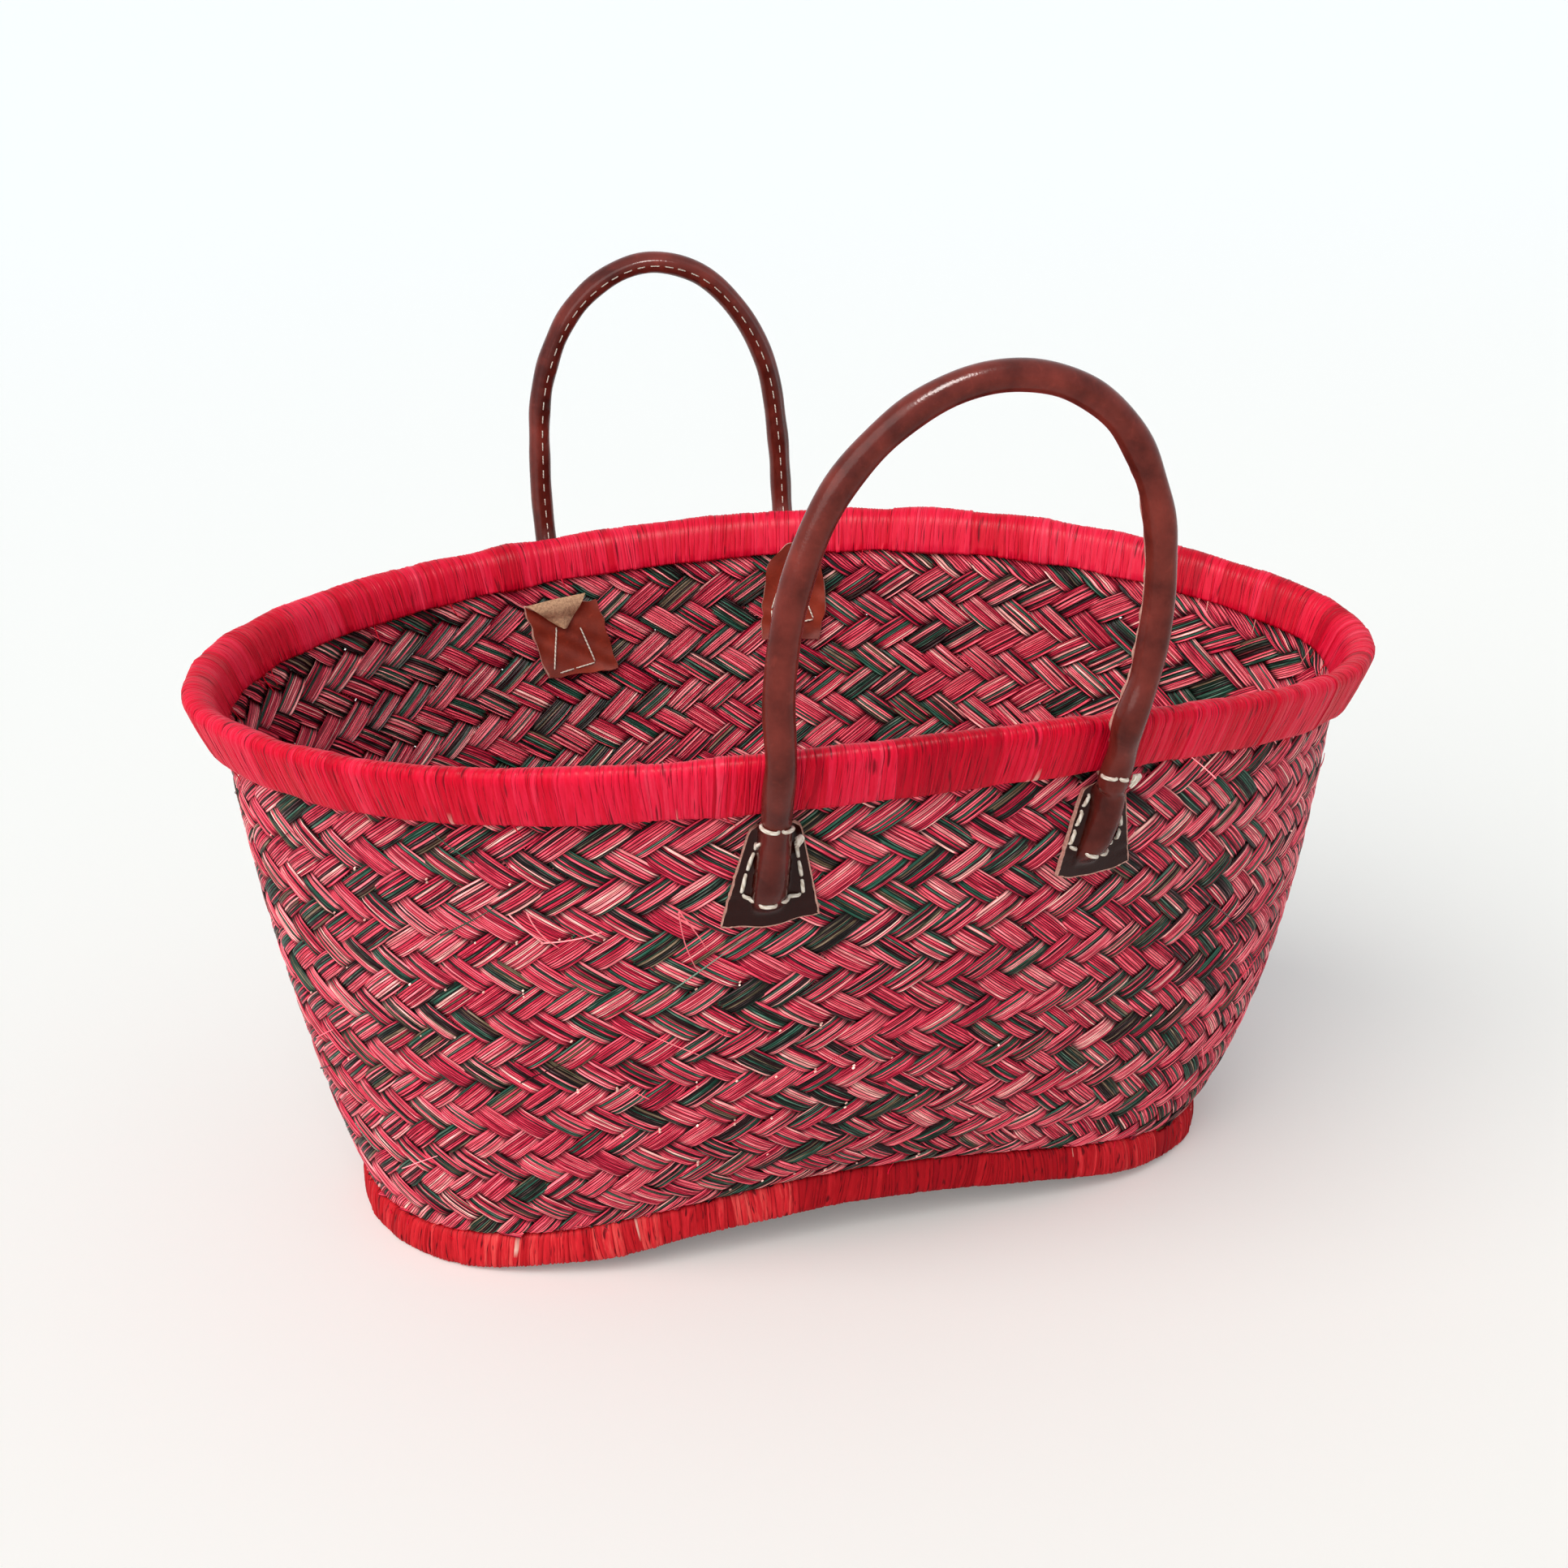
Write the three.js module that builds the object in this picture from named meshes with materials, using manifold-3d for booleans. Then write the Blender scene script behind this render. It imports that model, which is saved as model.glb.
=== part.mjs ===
// An oval market basket: a plaited body, a raffia-wrapped rim and foot, and two rolled-leather
// handles whose flared ends are sewn through the wall to backing patches.
// Millimetres, +Z up, +X along the length. "turn" is an angle round the basket, 0 at the +X end.
import * as THREE from "three";
import { mergeVertices } from "three/addons/utils/BufferGeometryUtils.js";
import Module from "manifold-3d";

const wasm = await Module();
wasm.setup();

// Rim, seen from above along the middle of its wrapped band
const rimHalfLength = 240;
const rimHalfWidth = 165;
const rimTaper = 1.285; // above 1 the oval's ends are drawn to a point
const rimTip = 0.02; // rounding of those points, larger is rounder
const rimEgg = 0.039; // share by which the +X end runs out further
const rimTwist = -0.056; // share by which opposite quarters swell
const rimHeight = 228.6; // mean height of the band's top
const rimEndDrop = 8.8; // below the mean at both ends, and above it at the sides
const rimCornerRise = 4.4; // above the mean at two opposite corners
const rimTipDrop = 2.9; // below the mean at the +X end and two places round from it
const rimSideDrop = 4.1; // the same, a quarter of a wave on

// The wrapped band of the rim
const bandThickness = 12;
const bandDepthOutside = 23.2;
const bandDepthInside = 17;
const bandFlareEnds = 10.6; // how far the band leans in from top to bottom at the ends
const bandFlareSides = 9.3;
const raffiaThickness = 1.2;

// Woven wall and floor
const wallThickness = 2.2;
const wallInset = 0.4; // the wall's outside from the band's middle, towards the inside
const wallTuck = 4; // the wall's edge below the band's top
const wallRoundLeft = 1.51;
const wallRoundRight = 2.82;
const wallStraight = 0.47; // share of the wall's spread that grows evenly
const wallRise = 1.19;

// Foot ring
const footHalfLength = 179.8;
const footHalfWidth = 104.7;
const footSquareness = 0.85; // below 1 the oval is fuller at its corners
const footWaist = 19.9; // how far the long sides are drawn in at their middle
const footSkew = -0.03;
const footArch = 16.4; // how far the long sides lift off the ground at their middle
const footHeight = 14.8;
const footThickness = 10;
const footBedding = 0.5; // what the standing ends are pressed flat by
const footLip = 3; // how far the wrapping closes over the hoop's top from each side
const footRound = 2.5; // the rounding of its corners
const floorInset = 1;

// Handles
const handleDiameter = 11;
const cordDiameter = 6.6;
const seamDiameter = 0.9;
const frontRise = 125; // from the hinge line to the middle of the loop's top
const backRise = 116;
const handleSwingOut = 120; // degrees, outward from upright

// Tabs, patches and thread
const leatherThickness = 1.6;
const tabLength = 45.5;
const tabSpread = 17; // half the width of its lower edge
const tabTopWidth = 14;
const tabFlare = 0.85; // below 1 the tab widens sooner
const tabSlant = 0.05; // share by which its left edge is longer
const patchWidth = 36;
const patchLength = 37;
const patchCorner = 0.06; // share of the width that its corners lose
const threadDiameter = 1.3;

// The centre line of a handle's sewn end: share of the tab's length, and height off the tab as a
// share of the handle's radius
const rolledEnd = [
  [0.17, 1], [0.34, 0.85], [0.6, 0.5], [0.82, 0],
];

// Needle holes, each as a share of the tab's half width there and of its length
const needleHoles = [
  [-0.78, 0.17], [-0.7, 0.46], [-0.68, 0.76], [0.68, 0.78], [0.72, 0.5], [0.8, 0.2],
];

// Clearance between pieces that touch
const clearance = 0.3;
const patchClearance = 0.8;

// How finely the curved pieces are divided; crowding draws the stations to the long sides
const crowding = 0.1;
const stations = 48;
const wallRings = 9;
const ringCrowding = 1.25; // above 1 the wall's rings are closer near the floor
const longestStep = 14; // along a handle
const handleSides = 10;
const boreSides = 8;
const cordSides = 6;
const threadSides = 4;

// Each end of a handle has the turns of its hinge and of its tab, and how long and how wide to
// the left and the right that tab is, as shares of tabLength and tabSpread. The bend lists the
// loop's middle line, as shares of half the span and of the rise.
const handles = [
  {
    name: "front",
    rise: frontRise,
    bend: [
      [-1, 0], [-0.99, 0.21], [-0.9, 0.5], [-0.7, 0.745], [-0.32, 0.93], [0.09, 1],
      [0.5, 0.972], [0.83, 0.856], [1.05, 0.64], [1.115, 0.384], [1.075, 0.13], [1, 0],
    ],
    ends: [
      { side: "left", hinge: 255.3, tab: 254.9, long: 1.033, wide: [1.06, 0.94] },
      { side: "right", hinge: 285, tab: 286.6, long: 0.967, wide: [0.94, 1] },
    ],
  },
  {
    name: "back",
    rise: backRise,
    bend: [
      [1, 0], [1, 0.3], [0.94, 0.57], [0.75, 0.78], [0.44, 0.94], [0.05, 1],
      [-0.3, 0.96], [-0.64, 0.83], [-0.9, 0.58], [-0.99, 0.25], [-1, 0],
    ],
    ends: [
      { side: "left", hinge: 101.8, tab: 102, long: 1.011, wide: [1, 0.94] },
      { side: "right", hinge: 76.8, tab: 76.2, long: 0.989, wide: [0.94, 1] },
    ],
  },
];

const colours = {
  weave: 0xb23a52,
  rimRaffia: 0xe0203f,
  footRaffia: 0xd02430,
  hoop: 0xc9a877,
  leather: 0x6e2a22,
  tab: 0x4a1812,
  patch: 0x7a2a1c,
  cord: 0xb79b6c,
  thread: 0xe8dcc8,
};

const radians = THREE.MathUtils.degToRad;
const signedPower = (value, exponent) => Math.sign(value) * Math.abs(value) ** exponent;

// Outlines seen from above

function rimOutline(turn) {
  const swell = 1 + rimEgg * Math.cos(3 * turn) + rimTwist * Math.sin(2 * turn);
  const x = rimHalfLength * Math.cos(turn) * swell;
  const narrow = (Math.sin(turn) ** 2 + rimTip) ** ((rimTaper - 1) / 2);
  const y = rimHalfWidth * Math.sin(turn) * narrow * swell;
  return new THREE.Vector2(x, y);
}

function rimTop(turn) {
  const twice = rimCornerRise * Math.sin(2 * turn) - rimEndDrop * Math.cos(2 * turn);
  const thrice = rimSideDrop * Math.sin(3 * turn) - rimTipDrop * Math.cos(3 * turn);
  return rimHeight + twice + thrice;
}

function footOval(turn) {
  const x = footHalfLength * Math.cos(turn);
  const y = footHalfWidth * signedPower(Math.sin(turn), footSquareness);
  return new THREE.Vector2(x, y);
}

function outward(outline, turn) {
  const step = 0.001;
  const along = outline(turn + step).sub(outline(turn - step));
  return new THREE.Vector2(along.y, -along.x).normalize();
}

// 1 at the middle of the long sides and 0 at the ends
const middleShare = (x) => Math.max(0, 1 - (x / footHalfLength) ** 2) ** 2;

function footOutline(turn, inset) {
  const point = footOval(turn).addScaledVector(outward(footOval, turn), -inset);
  point.y *= 1 - (footWaist / footHalfWidth) * middleShare(point.x);
  point.y += footSkew * point.x;
  return point;
}

// Places on the basket

// n is measured outward from the band's middle and h upward from its top
function onRim(turn, n, h) {
  const ends = Math.cos(turn) ** 2;
  const flare = bandFlareEnds * ends + bandFlareSides * (1 - ends);
  const lean = (flare * h) / bandDepthOutside;
  const point = rimOutline(turn).addScaledVector(outward(rimOutline, turn), n + lean);
  return new THREE.Vector3(point.x, point.y, rimTop(turn) + h);
}

// n is measured outward from the foot's outer face and h upward from its underside
function onFoot(turn, n, h) {
  const point = footOutline(turn, -n);
  const lift = footArch * middleShare(point.x);
  return new THREE.Vector3(point.x, point.y, Math.max(0, lift + h - footBedding));
}

// The outside of the weave: u is 0 at the middle of the floor, 1 where the wall starts, 2 where it
// goes in under the band and 3 at its hidden top edge.
function onWeave(turn, u) {
  const bottom = onFoot(turn, -floorInset, footHeight + footBedding + clearance);
  if (u <= 1) {
    const x = bottom.x * u;
    const z = footArch * middleShare(x) + footHeight + clearance;
    return new THREE.Vector3(x, bottom.y * u, z);
  }
  if (u > 2) {
    const h = -bandDepthOutside + (u - 2) * (bandDepthOutside - wallTuck);
    return onRim(turn, -wallInset, h);
  }
  const v = u - 1;
  const top = onRim(turn, -wallInset, -bandDepthOutside);
  const round = THREE.MathUtils.lerp(wallRoundLeft, wallRoundRight, (1 + Math.cos(turn)) / 2);
  const spread = (1 - wallStraight) * (1 - (1 - v) ** round) + wallStraight * v;
  const point = bottom.clone().lerp(top, spread);
  point.z = THREE.MathUtils.lerp(bottom.z, top.z, v ** wallRise);
  return point;
}

function weaveNormal(turn, u) {
  const step = 0.004;
  const round = onWeave(turn + step, u).sub(onWeave(turn - step, u));
  const up = onWeave(turn, u + step).sub(onWeave(turn, u - step));
  return round.cross(up).normalize();
}

// A point off the wall: s mm along it from a turn, t mm down from the band, n mm out from it
function offWall(turn, s, t, n) {
  const wallLength = onWeave(turn, 1.6).distanceTo(onWeave(turn, 2)) / 0.4;
  const u = 2 - t / wallLength;
  const step = 0.01;
  const perTurn = onWeave(turn + step, u).distanceTo(onWeave(turn - step, u)) / (2 * step);
  const at = turn + s / perTurn;
  return onWeave(at, u).addScaledVector(weaveNormal(at, u), n);
}

// Meshes and solids

const stationTurn = (x, y) => {
  const angle = Math.atan2(y, x);
  return angle + crowding * Math.sin(2 * angle);
};

function closed(geometry) {
  const plain = geometry.clone();
  plain.deleteAttribute("normal");
  plain.deleteAttribute("uv");
  const merged = mergeVertices(plain, 1e-4);
  const index = merged.index.array;
  const place = merged.attributes.position;
  const [a, b, c] = [new THREE.Vector3(), new THREE.Vector3(), new THREE.Vector3()];
  const kept = [];
  let volume = 0;
  for (let i = 0; i < index.length; i += 3) {
    const corners = [index[i], index[i + 1], index[i + 2]];
    if (new Set(corners).size < 3) continue;
    kept.push(...corners);
    a.fromBufferAttribute(place, corners[0]);
    b.fromBufferAttribute(place, corners[1]);
    c.fromBufferAttribute(place, corners[2]);
    volume += a.dot(b.cross(c));
  }
  if (volume < 0) kept.reverse();
  merged.setIndex(kept);
  return merged;
}

function solid(geometry) {
  const body = closed(geometry);
  const vertProperties = new Float32Array(body.attributes.position.array);
  const triVerts = new Uint32Array(body.index.array);
  return new wasm.Manifold(new wasm.Mesh({ numProp: 3, vertProperties, triVerts }));
}

function surface(manifold) {
  const { vertProperties, triVerts } = manifold.getMesh();
  const geometry = new THREE.BufferGeometry();
  geometry.setAttribute("position", new THREE.BufferAttribute(vertProperties, 3));
  geometry.setIndex(new THREE.BufferAttribute(triVerts, 1));
  return geometry;
}

function reshape(geometry, place) {
  const position = geometry.attributes.position;
  for (let i = 0; i < position.count; i += 1) {
    const point = place(position.getX(i), position.getY(i), position.getZ(i));
    position.setXYZ(i, point.x, point.y, point.z);
  }
  return geometry;
}

// A closed profile of [n, h] points carried round the basket
function ring(profile, place) {
  const latheRadius = 1000;
  const points = [...profile, profile[0]].map(([n, h]) => new THREE.Vector2(latheRadius + n, h));
  const geometry = new THREE.LatheGeometry(points, stations);
  geometry.rotateX(Math.PI / 2);
  const bend = (x, y, z) => place(stationTurn(x, y), Math.hypot(x, y) - latheRadius, z);
  return closed(reshape(geometry, bend));
}

// A flat plate, warped onto the wall: edge(x, y) gives s and t for x in -1..1 and y in 0..1
function plate(turn, columns, rows, near, far, edge) {
  const geometry = new THREE.BoxGeometry(2, 1, 1, columns, rows, 1);
  const bend = (x, y, z) => {
    const [s, t] = edge(x, y + 0.5);
    return offWall(turn, s, t, z > 0 ? far : near);
  };
  return closed(reshape(geometry, bend));
}

function circle(radius, sides) {
  const shape = new THREE.Shape();
  for (let i = 0; i < sides; i += 1) {
    const angle = (i * 2 * Math.PI) / sides;
    const [x, y] = [radius * Math.cos(angle), radius * Math.sin(angle)];
    if (i === 0) shape.moveTo(x, y);
    else shape.lineTo(x, y);
  }
  shape.closePath();
  return shape;
}

const smooth = (points) => new THREE.CatmullRomCurve3(points, false, "centripetal");

function tube(points, diameter, sides, steps) {
  const extrudePath = smooth(points);
  return new THREE.ExtrudeGeometry(circle(diameter / 2, sides), { steps, extrudePath });
}

function rod(from, to, diameter, sides) {
  const length = from.distanceTo(to);
  const geometry = new THREE.CylinderGeometry(diameter / 2, diameter / 2, length, sides);
  const direction = to.clone().sub(from).normalize();
  const turned = new THREE.Quaternion().setFromUnitVectors(new THREE.Vector3(0, 1, 0), direction);
  geometry.applyQuaternion(turned);
  return geometry.translate(...from.clone().lerp(to, 0.5).toArray());
}

const union = (parts) => parts.reduce((sum, part) => sum.add(part));

// Body, rim and foot

// The weave between two skins, each a distance in from its outside, joined at the top edge
function weave(outerIn, innerIn) {
  const rows = [0, 0.5, 1];
  for (let i = 1; i <= wallRings; i += 1) rows.push(1 + (i / wallRings) ** ringCrowding);
  rows.push(3);
  const outside = rows.map((u) => new THREE.Vector2(u, 0));
  const inside = rows.map((u) => new THREE.Vector2(u, 1)).reverse();
  const geometry = new THREE.LatheGeometry([...outside, ...inside], stations);
  geometry.rotateX(Math.PI / 2);
  const bend = (x, y, layer) => {
    const u = Math.hypot(x, y);
    const turn = u > 0 ? stationTurn(x, y) : 0;
    const depth = layer > 0.5 ? innerIn : outerIn;
    const point = onWeave(turn, u);
    if (u < 0.99) return point.setZ(point.z + depth);
    if (u > 1.01) return point.addScaledVector(weaveNormal(turn, Math.min(u, 2.99)), -depth);
    const corner = onWeave(turn, 1 - depth / footHalfWidth);
    return corner.setZ(corner.z + depth);
  };
  return closed(reshape(geometry, bend));
}

const half = bandThickness / 2;
const innerArc = 4; // flats of the wrapping's inner arc
const wallOuter = -wallInset;
const wallInner = -wallInset - wallThickness;

function bandTop(radius, count) {
  const arc = [];
  for (let i = 0; i <= count; i += 1) {
    const angle = (Math.PI * i) / count;
    arc.push([radius * Math.cos(angle), radius * Math.sin(angle) - half]);
  }
  return arc;
}

function rimWrap() {
  const inside = half - raffiaThickness;
  return ring(
    [
      [wallOuter + clearance, -bandDepthOutside],
      [half - raffiaThickness / 2, -bandDepthOutside],
      [half, -bandDepthOutside + raffiaThickness],
      ...bandTop(half, 5),
      [-half, -bandDepthInside],
      [wallInner - clearance, -bandDepthInside],
      [wallInner - clearance, -bandDepthInside + raffiaThickness],
      [-inside, -bandDepthInside + raffiaThickness],
      ...bandTop(inside, innerArc).reverse(),
      [inside, -bandDepthOutside + raffiaThickness],
      [wallOuter + clearance, -bandDepthOutside + raffiaThickness],
    ],
    onRim
  );
}

// The hoops fill the wrapping up to the flats of its inner arc
function rimHoop(near, far, bottom) {
  const flats = Math.cos(Math.PI / (2 * innerArc));
  const shoulder = (half - raffiaThickness) * flats - clearance;
  const low = bottom + raffiaThickness + clearance;
  const top = (n) => Math.sqrt(Math.max(0, shoulder ** 2 - n ** 2)) - half - clearance;
  const middle = (near + far) / 2;
  return ring([[near, low], [far, low], [far, top(far)], [middle, top(middle)], [near, top(near)]], onRim);
}

function footWrap() {
  const [inner, top] = [footThickness, footHeight + footBedding];
  const skin = raffiaThickness;
  return ring(
    [
      [-footLip, top], [0, top - footRound], [0, footRound], [-footRound, 0],
      [-inner + footRound, 0], [-inner, footRound], [-inner, top - footRound],
      [-inner + footLip, top], [-inner + footLip, top - skin], [-inner + skin, top - footRound],
      [-inner + skin, skin], [-skin, skin], [-skin, top - footRound], [-footLip, top - skin],
    ],
    onFoot
  );
}

function footHoop() {
  const skin = raffiaThickness + clearance;
  const top = footHeight + footBedding - skin - clearance;
  const [outer, inner] = [-skin, -footThickness + skin];
  return ring(
    [
      [outer, skin], [outer, top - footRound], [outer - footRound + skin, top],
      [inner + footRound - skin, top], [inner, top - footRound], [inner, skin],
    ],
    onFoot
  );
}

// Handles

const handleRadius = handleDiameter / 2;
const hingeOffset = half + 2 * clearance + handleRadius;
const boreDiameter = (cordDiameter + 2 * clearance) / Math.cos(Math.PI / boreSides);
const hingePoint = (end) => onRim(radians(end.hinge), hingeOffset, 0);

// A handle's own frame: x along the line through its ends, z up, and y away from the basket
function handleFrame(handle) {
  const [first, last] = handle.ends.map(hingePoint);
  const [left, right] = first.x < last.x ? [first, last] : [last, first];
  const facing = Math.sign(left.y + right.y);
  const along = right.clone().sub(left);
  const span = along.length();
  along.normalize().multiplyScalar(facing);
  const up = new THREE.Vector3(0, 0, 1).addScaledVector(along, -along.z).normalize();
  const away = up.clone().cross(along);
  const middle = left.clone().lerp(right, 0.5);
  const matrix = new THREE.Matrix4().makeBasis(along, away, up).setPosition(middle);
  return { matrix, span, facing, away, up };
}

// The seam runs along the side of the handle that faces the basket
function seamPath(path) {
  const curve = smooth(path);
  const toBasket = new THREE.Vector3(0, -handleRadius - clearance - seamDiameter / 2, 0);
  const [start, count] = [0.05, 18];
  const points = [];
  for (let i = 0; i <= count; i += 1) {
    const share = THREE.MathUtils.lerp(start, 1 - start, i / count);
    points.push(curve.getPointAt(share).add(toBasket));
  }
  return points;
}

// The leather and cord end just past the hinge line in a round end, so that they can turn without
// meeting the ends that are sewn to the wall.
function handlePieces(handle) {
  const { span, facing } = handleFrame(handle);
  const point = ([x, z]) => new THREE.Vector3((facing * x * span) / 2, 0, z * handle.rise);
  const path = handle.bend.map(point);
  const [first, last] = [path[0], path[path.length - 1]];
  const steps = Math.ceil(smooth(path).getLength() / longestStep);
  const pastBall = 1.4 * handleRadius;
  const below = (end) => end.clone().setZ(-pastBall);
  const through = [below(first), ...path, below(last)];
  const ball = (end) => {
    const sphere = new THREE.SphereGeometry(handleRadius, handleSides, 6).rotateX(Math.PI / 2);
    return solid(sphere.translate(end.x, end.y, end.z));
  };
  const rolled = solid(tube(path, handleDiameter, handleSides, steps));
  const bore = solid(tube(through, boreDiameter, boreSides, steps + 2));
  const leather = union([rolled, ball(first), ball(last)]).subtract(bore);
  const cordDrop = Math.sqrt(handleRadius ** 2 - (boreDiameter / 2) ** 2) - clearance;
  const trim = new THREE.BoxGeometry(2 * span, 2 * handleDiameter, handleDiameter);
  trim.translate(0, 0, -cordDrop - handleRadius);
  const core = solid(tube(through, cordDiameter, cordSides, steps + 2));
  const cord = core.subtract(solid(trim));
  const seam = solid(tube(seamPath(path), seamDiameter, threadSides, steps));
  return { leather: surface(leather), cord: surface(cord), seam: surface(seam) };
}

// The flared end that is sewn to the wall, with the last of the cord inside it

function stubPath(end, frame) {
  const hinge = hingePoint(end);
  const [hingeTurn, tabTurn] = [radians(end.hinge), radians(end.tab)];
  const middle = onRim((hingeTurn + tabTurn) / 2, hingeOffset, -bandDepthOutside * 0.6);
  const seat = leatherThickness + clearance;
  const out = (share, n) => offWall(tabTurn, 0, tabLength * end.long * share, n);
  return [
    hinge.clone().addScaledVector(frame.up, handleRadius),
    hinge,
    middle,
    out(0.03, wallInset + hingeOffset),
    ...rolledEnd.map(([share, height]) => out(share, seat + handleRadius * height)),
  ];
}

// Everything that the swinging handle sweeps through on its way out
function swingRoom(end, frame) {
  const reach = 6 * handleDiameter;
  const gap = handleRadius + 1.3 * clearance;
  const box = new THREE.BoxGeometry(reach, reach, reach).translate(0, 0, reach / 2 - gap);
  const lowest = radians(handleSwingOut + 90);
  const down = frame.up.clone().multiplyScalar(Math.cos(lowest));
  down.addScaledVector(frame.away, Math.sin(lowest));
  const upward = new THREE.Vector3(0, 0, 1);
  box.applyQuaternion(new THREE.Quaternion().setFromUnitVectors(upward, down.negate()));
  return solid(box.translate(...hingePoint(end).toArray()));
}

function tabEdge(end) {
  return (x, y) => {
    const spread = tabSpread * end.wide[x < 0 ? 0 : 1];
    const width = THREE.MathUtils.lerp(tabTopWidth / 2, spread, y ** tabFlare);
    const length = tabLength * end.long * (1 - tabSlant * x);
    return [x * width, clearance * 2 + y * (length - clearance * 2)];
  };
}

function patchEdge(x, y) {
  const corner = patchCorner * Math.abs(2 * y - 1) ** 5;
  return [(x * patchWidth * (1 - corner)) / 2, clearance * 2 + y * patchLength];
}

// A closed loop of thread through points of [s, t, n] off the wall
function threadLoop(turn, points, diameter) {
  const loopRadius = 10;
  const across = diameter / Math.SQRT2;
  const geometry = new THREE.TorusGeometry(loopRadius, 1, 4, points.length);
  const bend = (x, y, z) => {
    const share = (Math.atan2(y, x) / (2 * Math.PI) + 1) % 1;
    const k = Math.round(share * points.length) % points.length;
    const [s, t, n] = points[k];
    const [before, after] = [points.at(k - 1), points[(k + 1) % points.length]];
    const along = new THREE.Vector2(after[0] - before[0], after[1] - before[1]).normalize();
    const side = (Math.hypot(x, y) - loopRadius) * across;
    return offWall(turn, s + side * along.y, t - side * along.x, n + z * across);
  };
  return solid(reshape(geometry, bend));
}

// The thread goes round outside the tab, over its rolled part, and round inside the patch, and
// its legs join the two through the needle holes.
function stitching(end) {
  const turn = radians(end.tab);
  const edge = tabEdge(end);
  const outsideAt = 2 * clearance + leatherThickness + threadDiameter / 2;
  const insideAt = -wallThickness - patchClearance - outsideAt;
  const places = needleHoles.map(([x, y]) => edge(x, y));
  const outside = places.map((place) => [...place, outsideAt]);
  const overTube = leatherThickness + handleDiameter + 2 * clearance + threadDiameter;
  const [first, last] = [places[0], places.at(-1)];
  const shoulder = 0.8;
  outside.push([last[0] * shoulder, last[1], overTube], [first[0] * shoulder, first[1], overTube]);
  const inside = places.map((place) => [...place, insideAt]);
  const legs = (diameter) =>
    places.map(([s, t]) => {
      const ends = [insideAt, outsideAt].map((n) => offWall(turn, s, t, n));
      return solid(rod(...ends, diameter, threadSides));
    });
  const loops = (diameter) => [outside, inside].map((path) => threadLoop(turn, path, diameter));
  const roomy = threadDiameter + 2 * clearance;
  return {
    thread: union([...loops(threadDiameter), ...legs(threadDiameter)]),
    holes: union(legs(roomy)),
    groove: loops(roomy)[0],
  };
}

const rimEnvelope = solid(
  ring(
    [
      [wallOuter, -bandDepthOutside - clearance],
      [half + clearance, -bandDepthOutside - clearance],
      ...bandTop(half + clearance, 6),
      [wallInner, -bandDepthInside],
    ],
    onRim
  )
);
const weaveEnvelope = solid(weave(-clearance, wallThickness * 2));

function flaredEnd(end, frame, cuts) {
  const turn = radians(end.tab);
  const flat = plate(turn, 4, 4, clearance, clearance + leatherThickness, tabEdge(end));
  const path = stubPath(end, frame);
  const rolled = solid(tube(path, handleDiameter, boreSides, path.length));
  const middle = smooth(path).getSpacedPoints(10);
  const boreMiddle = middle.slice(0, 7);
  const cordMiddle = middle.slice(0, 6);
  const bore = solid(tube(boreMiddle, boreDiameter, boreSides, boreMiddle.length - 1));
  const room = swingRoom(end, frame);
  const core = solid(tube(cordMiddle, cordDiameter, cordSides, cordMiddle.length - 1));
  const cord = core.subtract(room);
  const leather = solid(flat).add(rolled).subtract(weaveEnvelope).subtract(rimEnvelope);
  return { leather: leather.subtract(bore).subtract(room).subtract(cuts), cord };
}

// Assembly

function finish(colour, roughness) {
  return new THREE.MeshStandardMaterial({ color: colour, roughness, metalness: 0 });
}

const finishes = {
  weave: finish(colours.weave, 0.75),
  rimRaffia: finish(colours.rimRaffia, 0.45),
  footRaffia: finish(colours.footRaffia, 0.5),
  hoop: finish(colours.hoop, 0.7),
  leather: finish(colours.leather, 0.35),
  tab: finish(colours.tab, 0.4),
  patch: finish(colours.patch, 0.45),
  cord: finish(colours.cord, 0.9),
  thread: finish(colours.thread, 0.7),
};

function piece(group, name, geometry, material) {
  const mesh = new THREE.Mesh(geometry, material);
  mesh.name = name;
  group.add(mesh);
}

const basket = new THREE.Group();
piece(basket, "rim_wrap", rimWrap(), finishes.rimRaffia);
const outerHoop = [wallOuter + clearance, half - raffiaThickness - clearance];
const innerHoop = [-half + raffiaThickness + clearance, wallInner - clearance];
piece(basket, "rim_hoop_outer", rimHoop(...outerHoop, -bandDepthOutside), finishes.hoop);
piece(basket, "rim_hoop_inner", rimHoop(...innerHoop, -bandDepthInside), finishes.hoop);
piece(basket, "foot_wrap", footWrap(), finishes.footRaffia);
piece(basket, "foot_hoop", footHoop(), finishes.hoop);

let body = solid(weave(0, wallThickness));
for (const handle of handles) {
  const frame = handleFrame(handle);
  const carried = new THREE.Group();
  carried.applyMatrix4(frame.matrix);
  const { leather, cord, seam } = handlePieces(handle);
  piece(carried, `${handle.name}_handle_leather`, leather, finishes.leather);
  piece(carried, `${handle.name}_handle_cord`, cord, finishes.cord);
  piece(carried, `${handle.name}_handle_seam`, seam, finishes.thread);
  basket.add(carried);
  for (const end of handle.ends) {
    const name = `${handle.name}_${end.side}`;
    const { thread, holes, groove } = stitching(end);
    const sewn = flaredEnd(end, frame, holes.add(groove));
    const near = -wallThickness - patchClearance - leatherThickness;
    const patch = plate(radians(end.tab), 3, 4, near, near + leatherThickness, patchEdge);
    piece(basket, `${name}_tab`, surface(sewn.leather), finishes.tab);
    piece(basket, `${name}_cord_end`, surface(sewn.cord), finishes.cord);
    piece(basket, `${name}_patch`, surface(solid(patch).subtract(holes)), finishes.patch);
    piece(basket, `${name}_stitching`, surface(thread), finishes.thread);
    body = body.subtract(holes);
  }
}
piece(basket, "woven_body", surface(body), finishes.weave);

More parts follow.
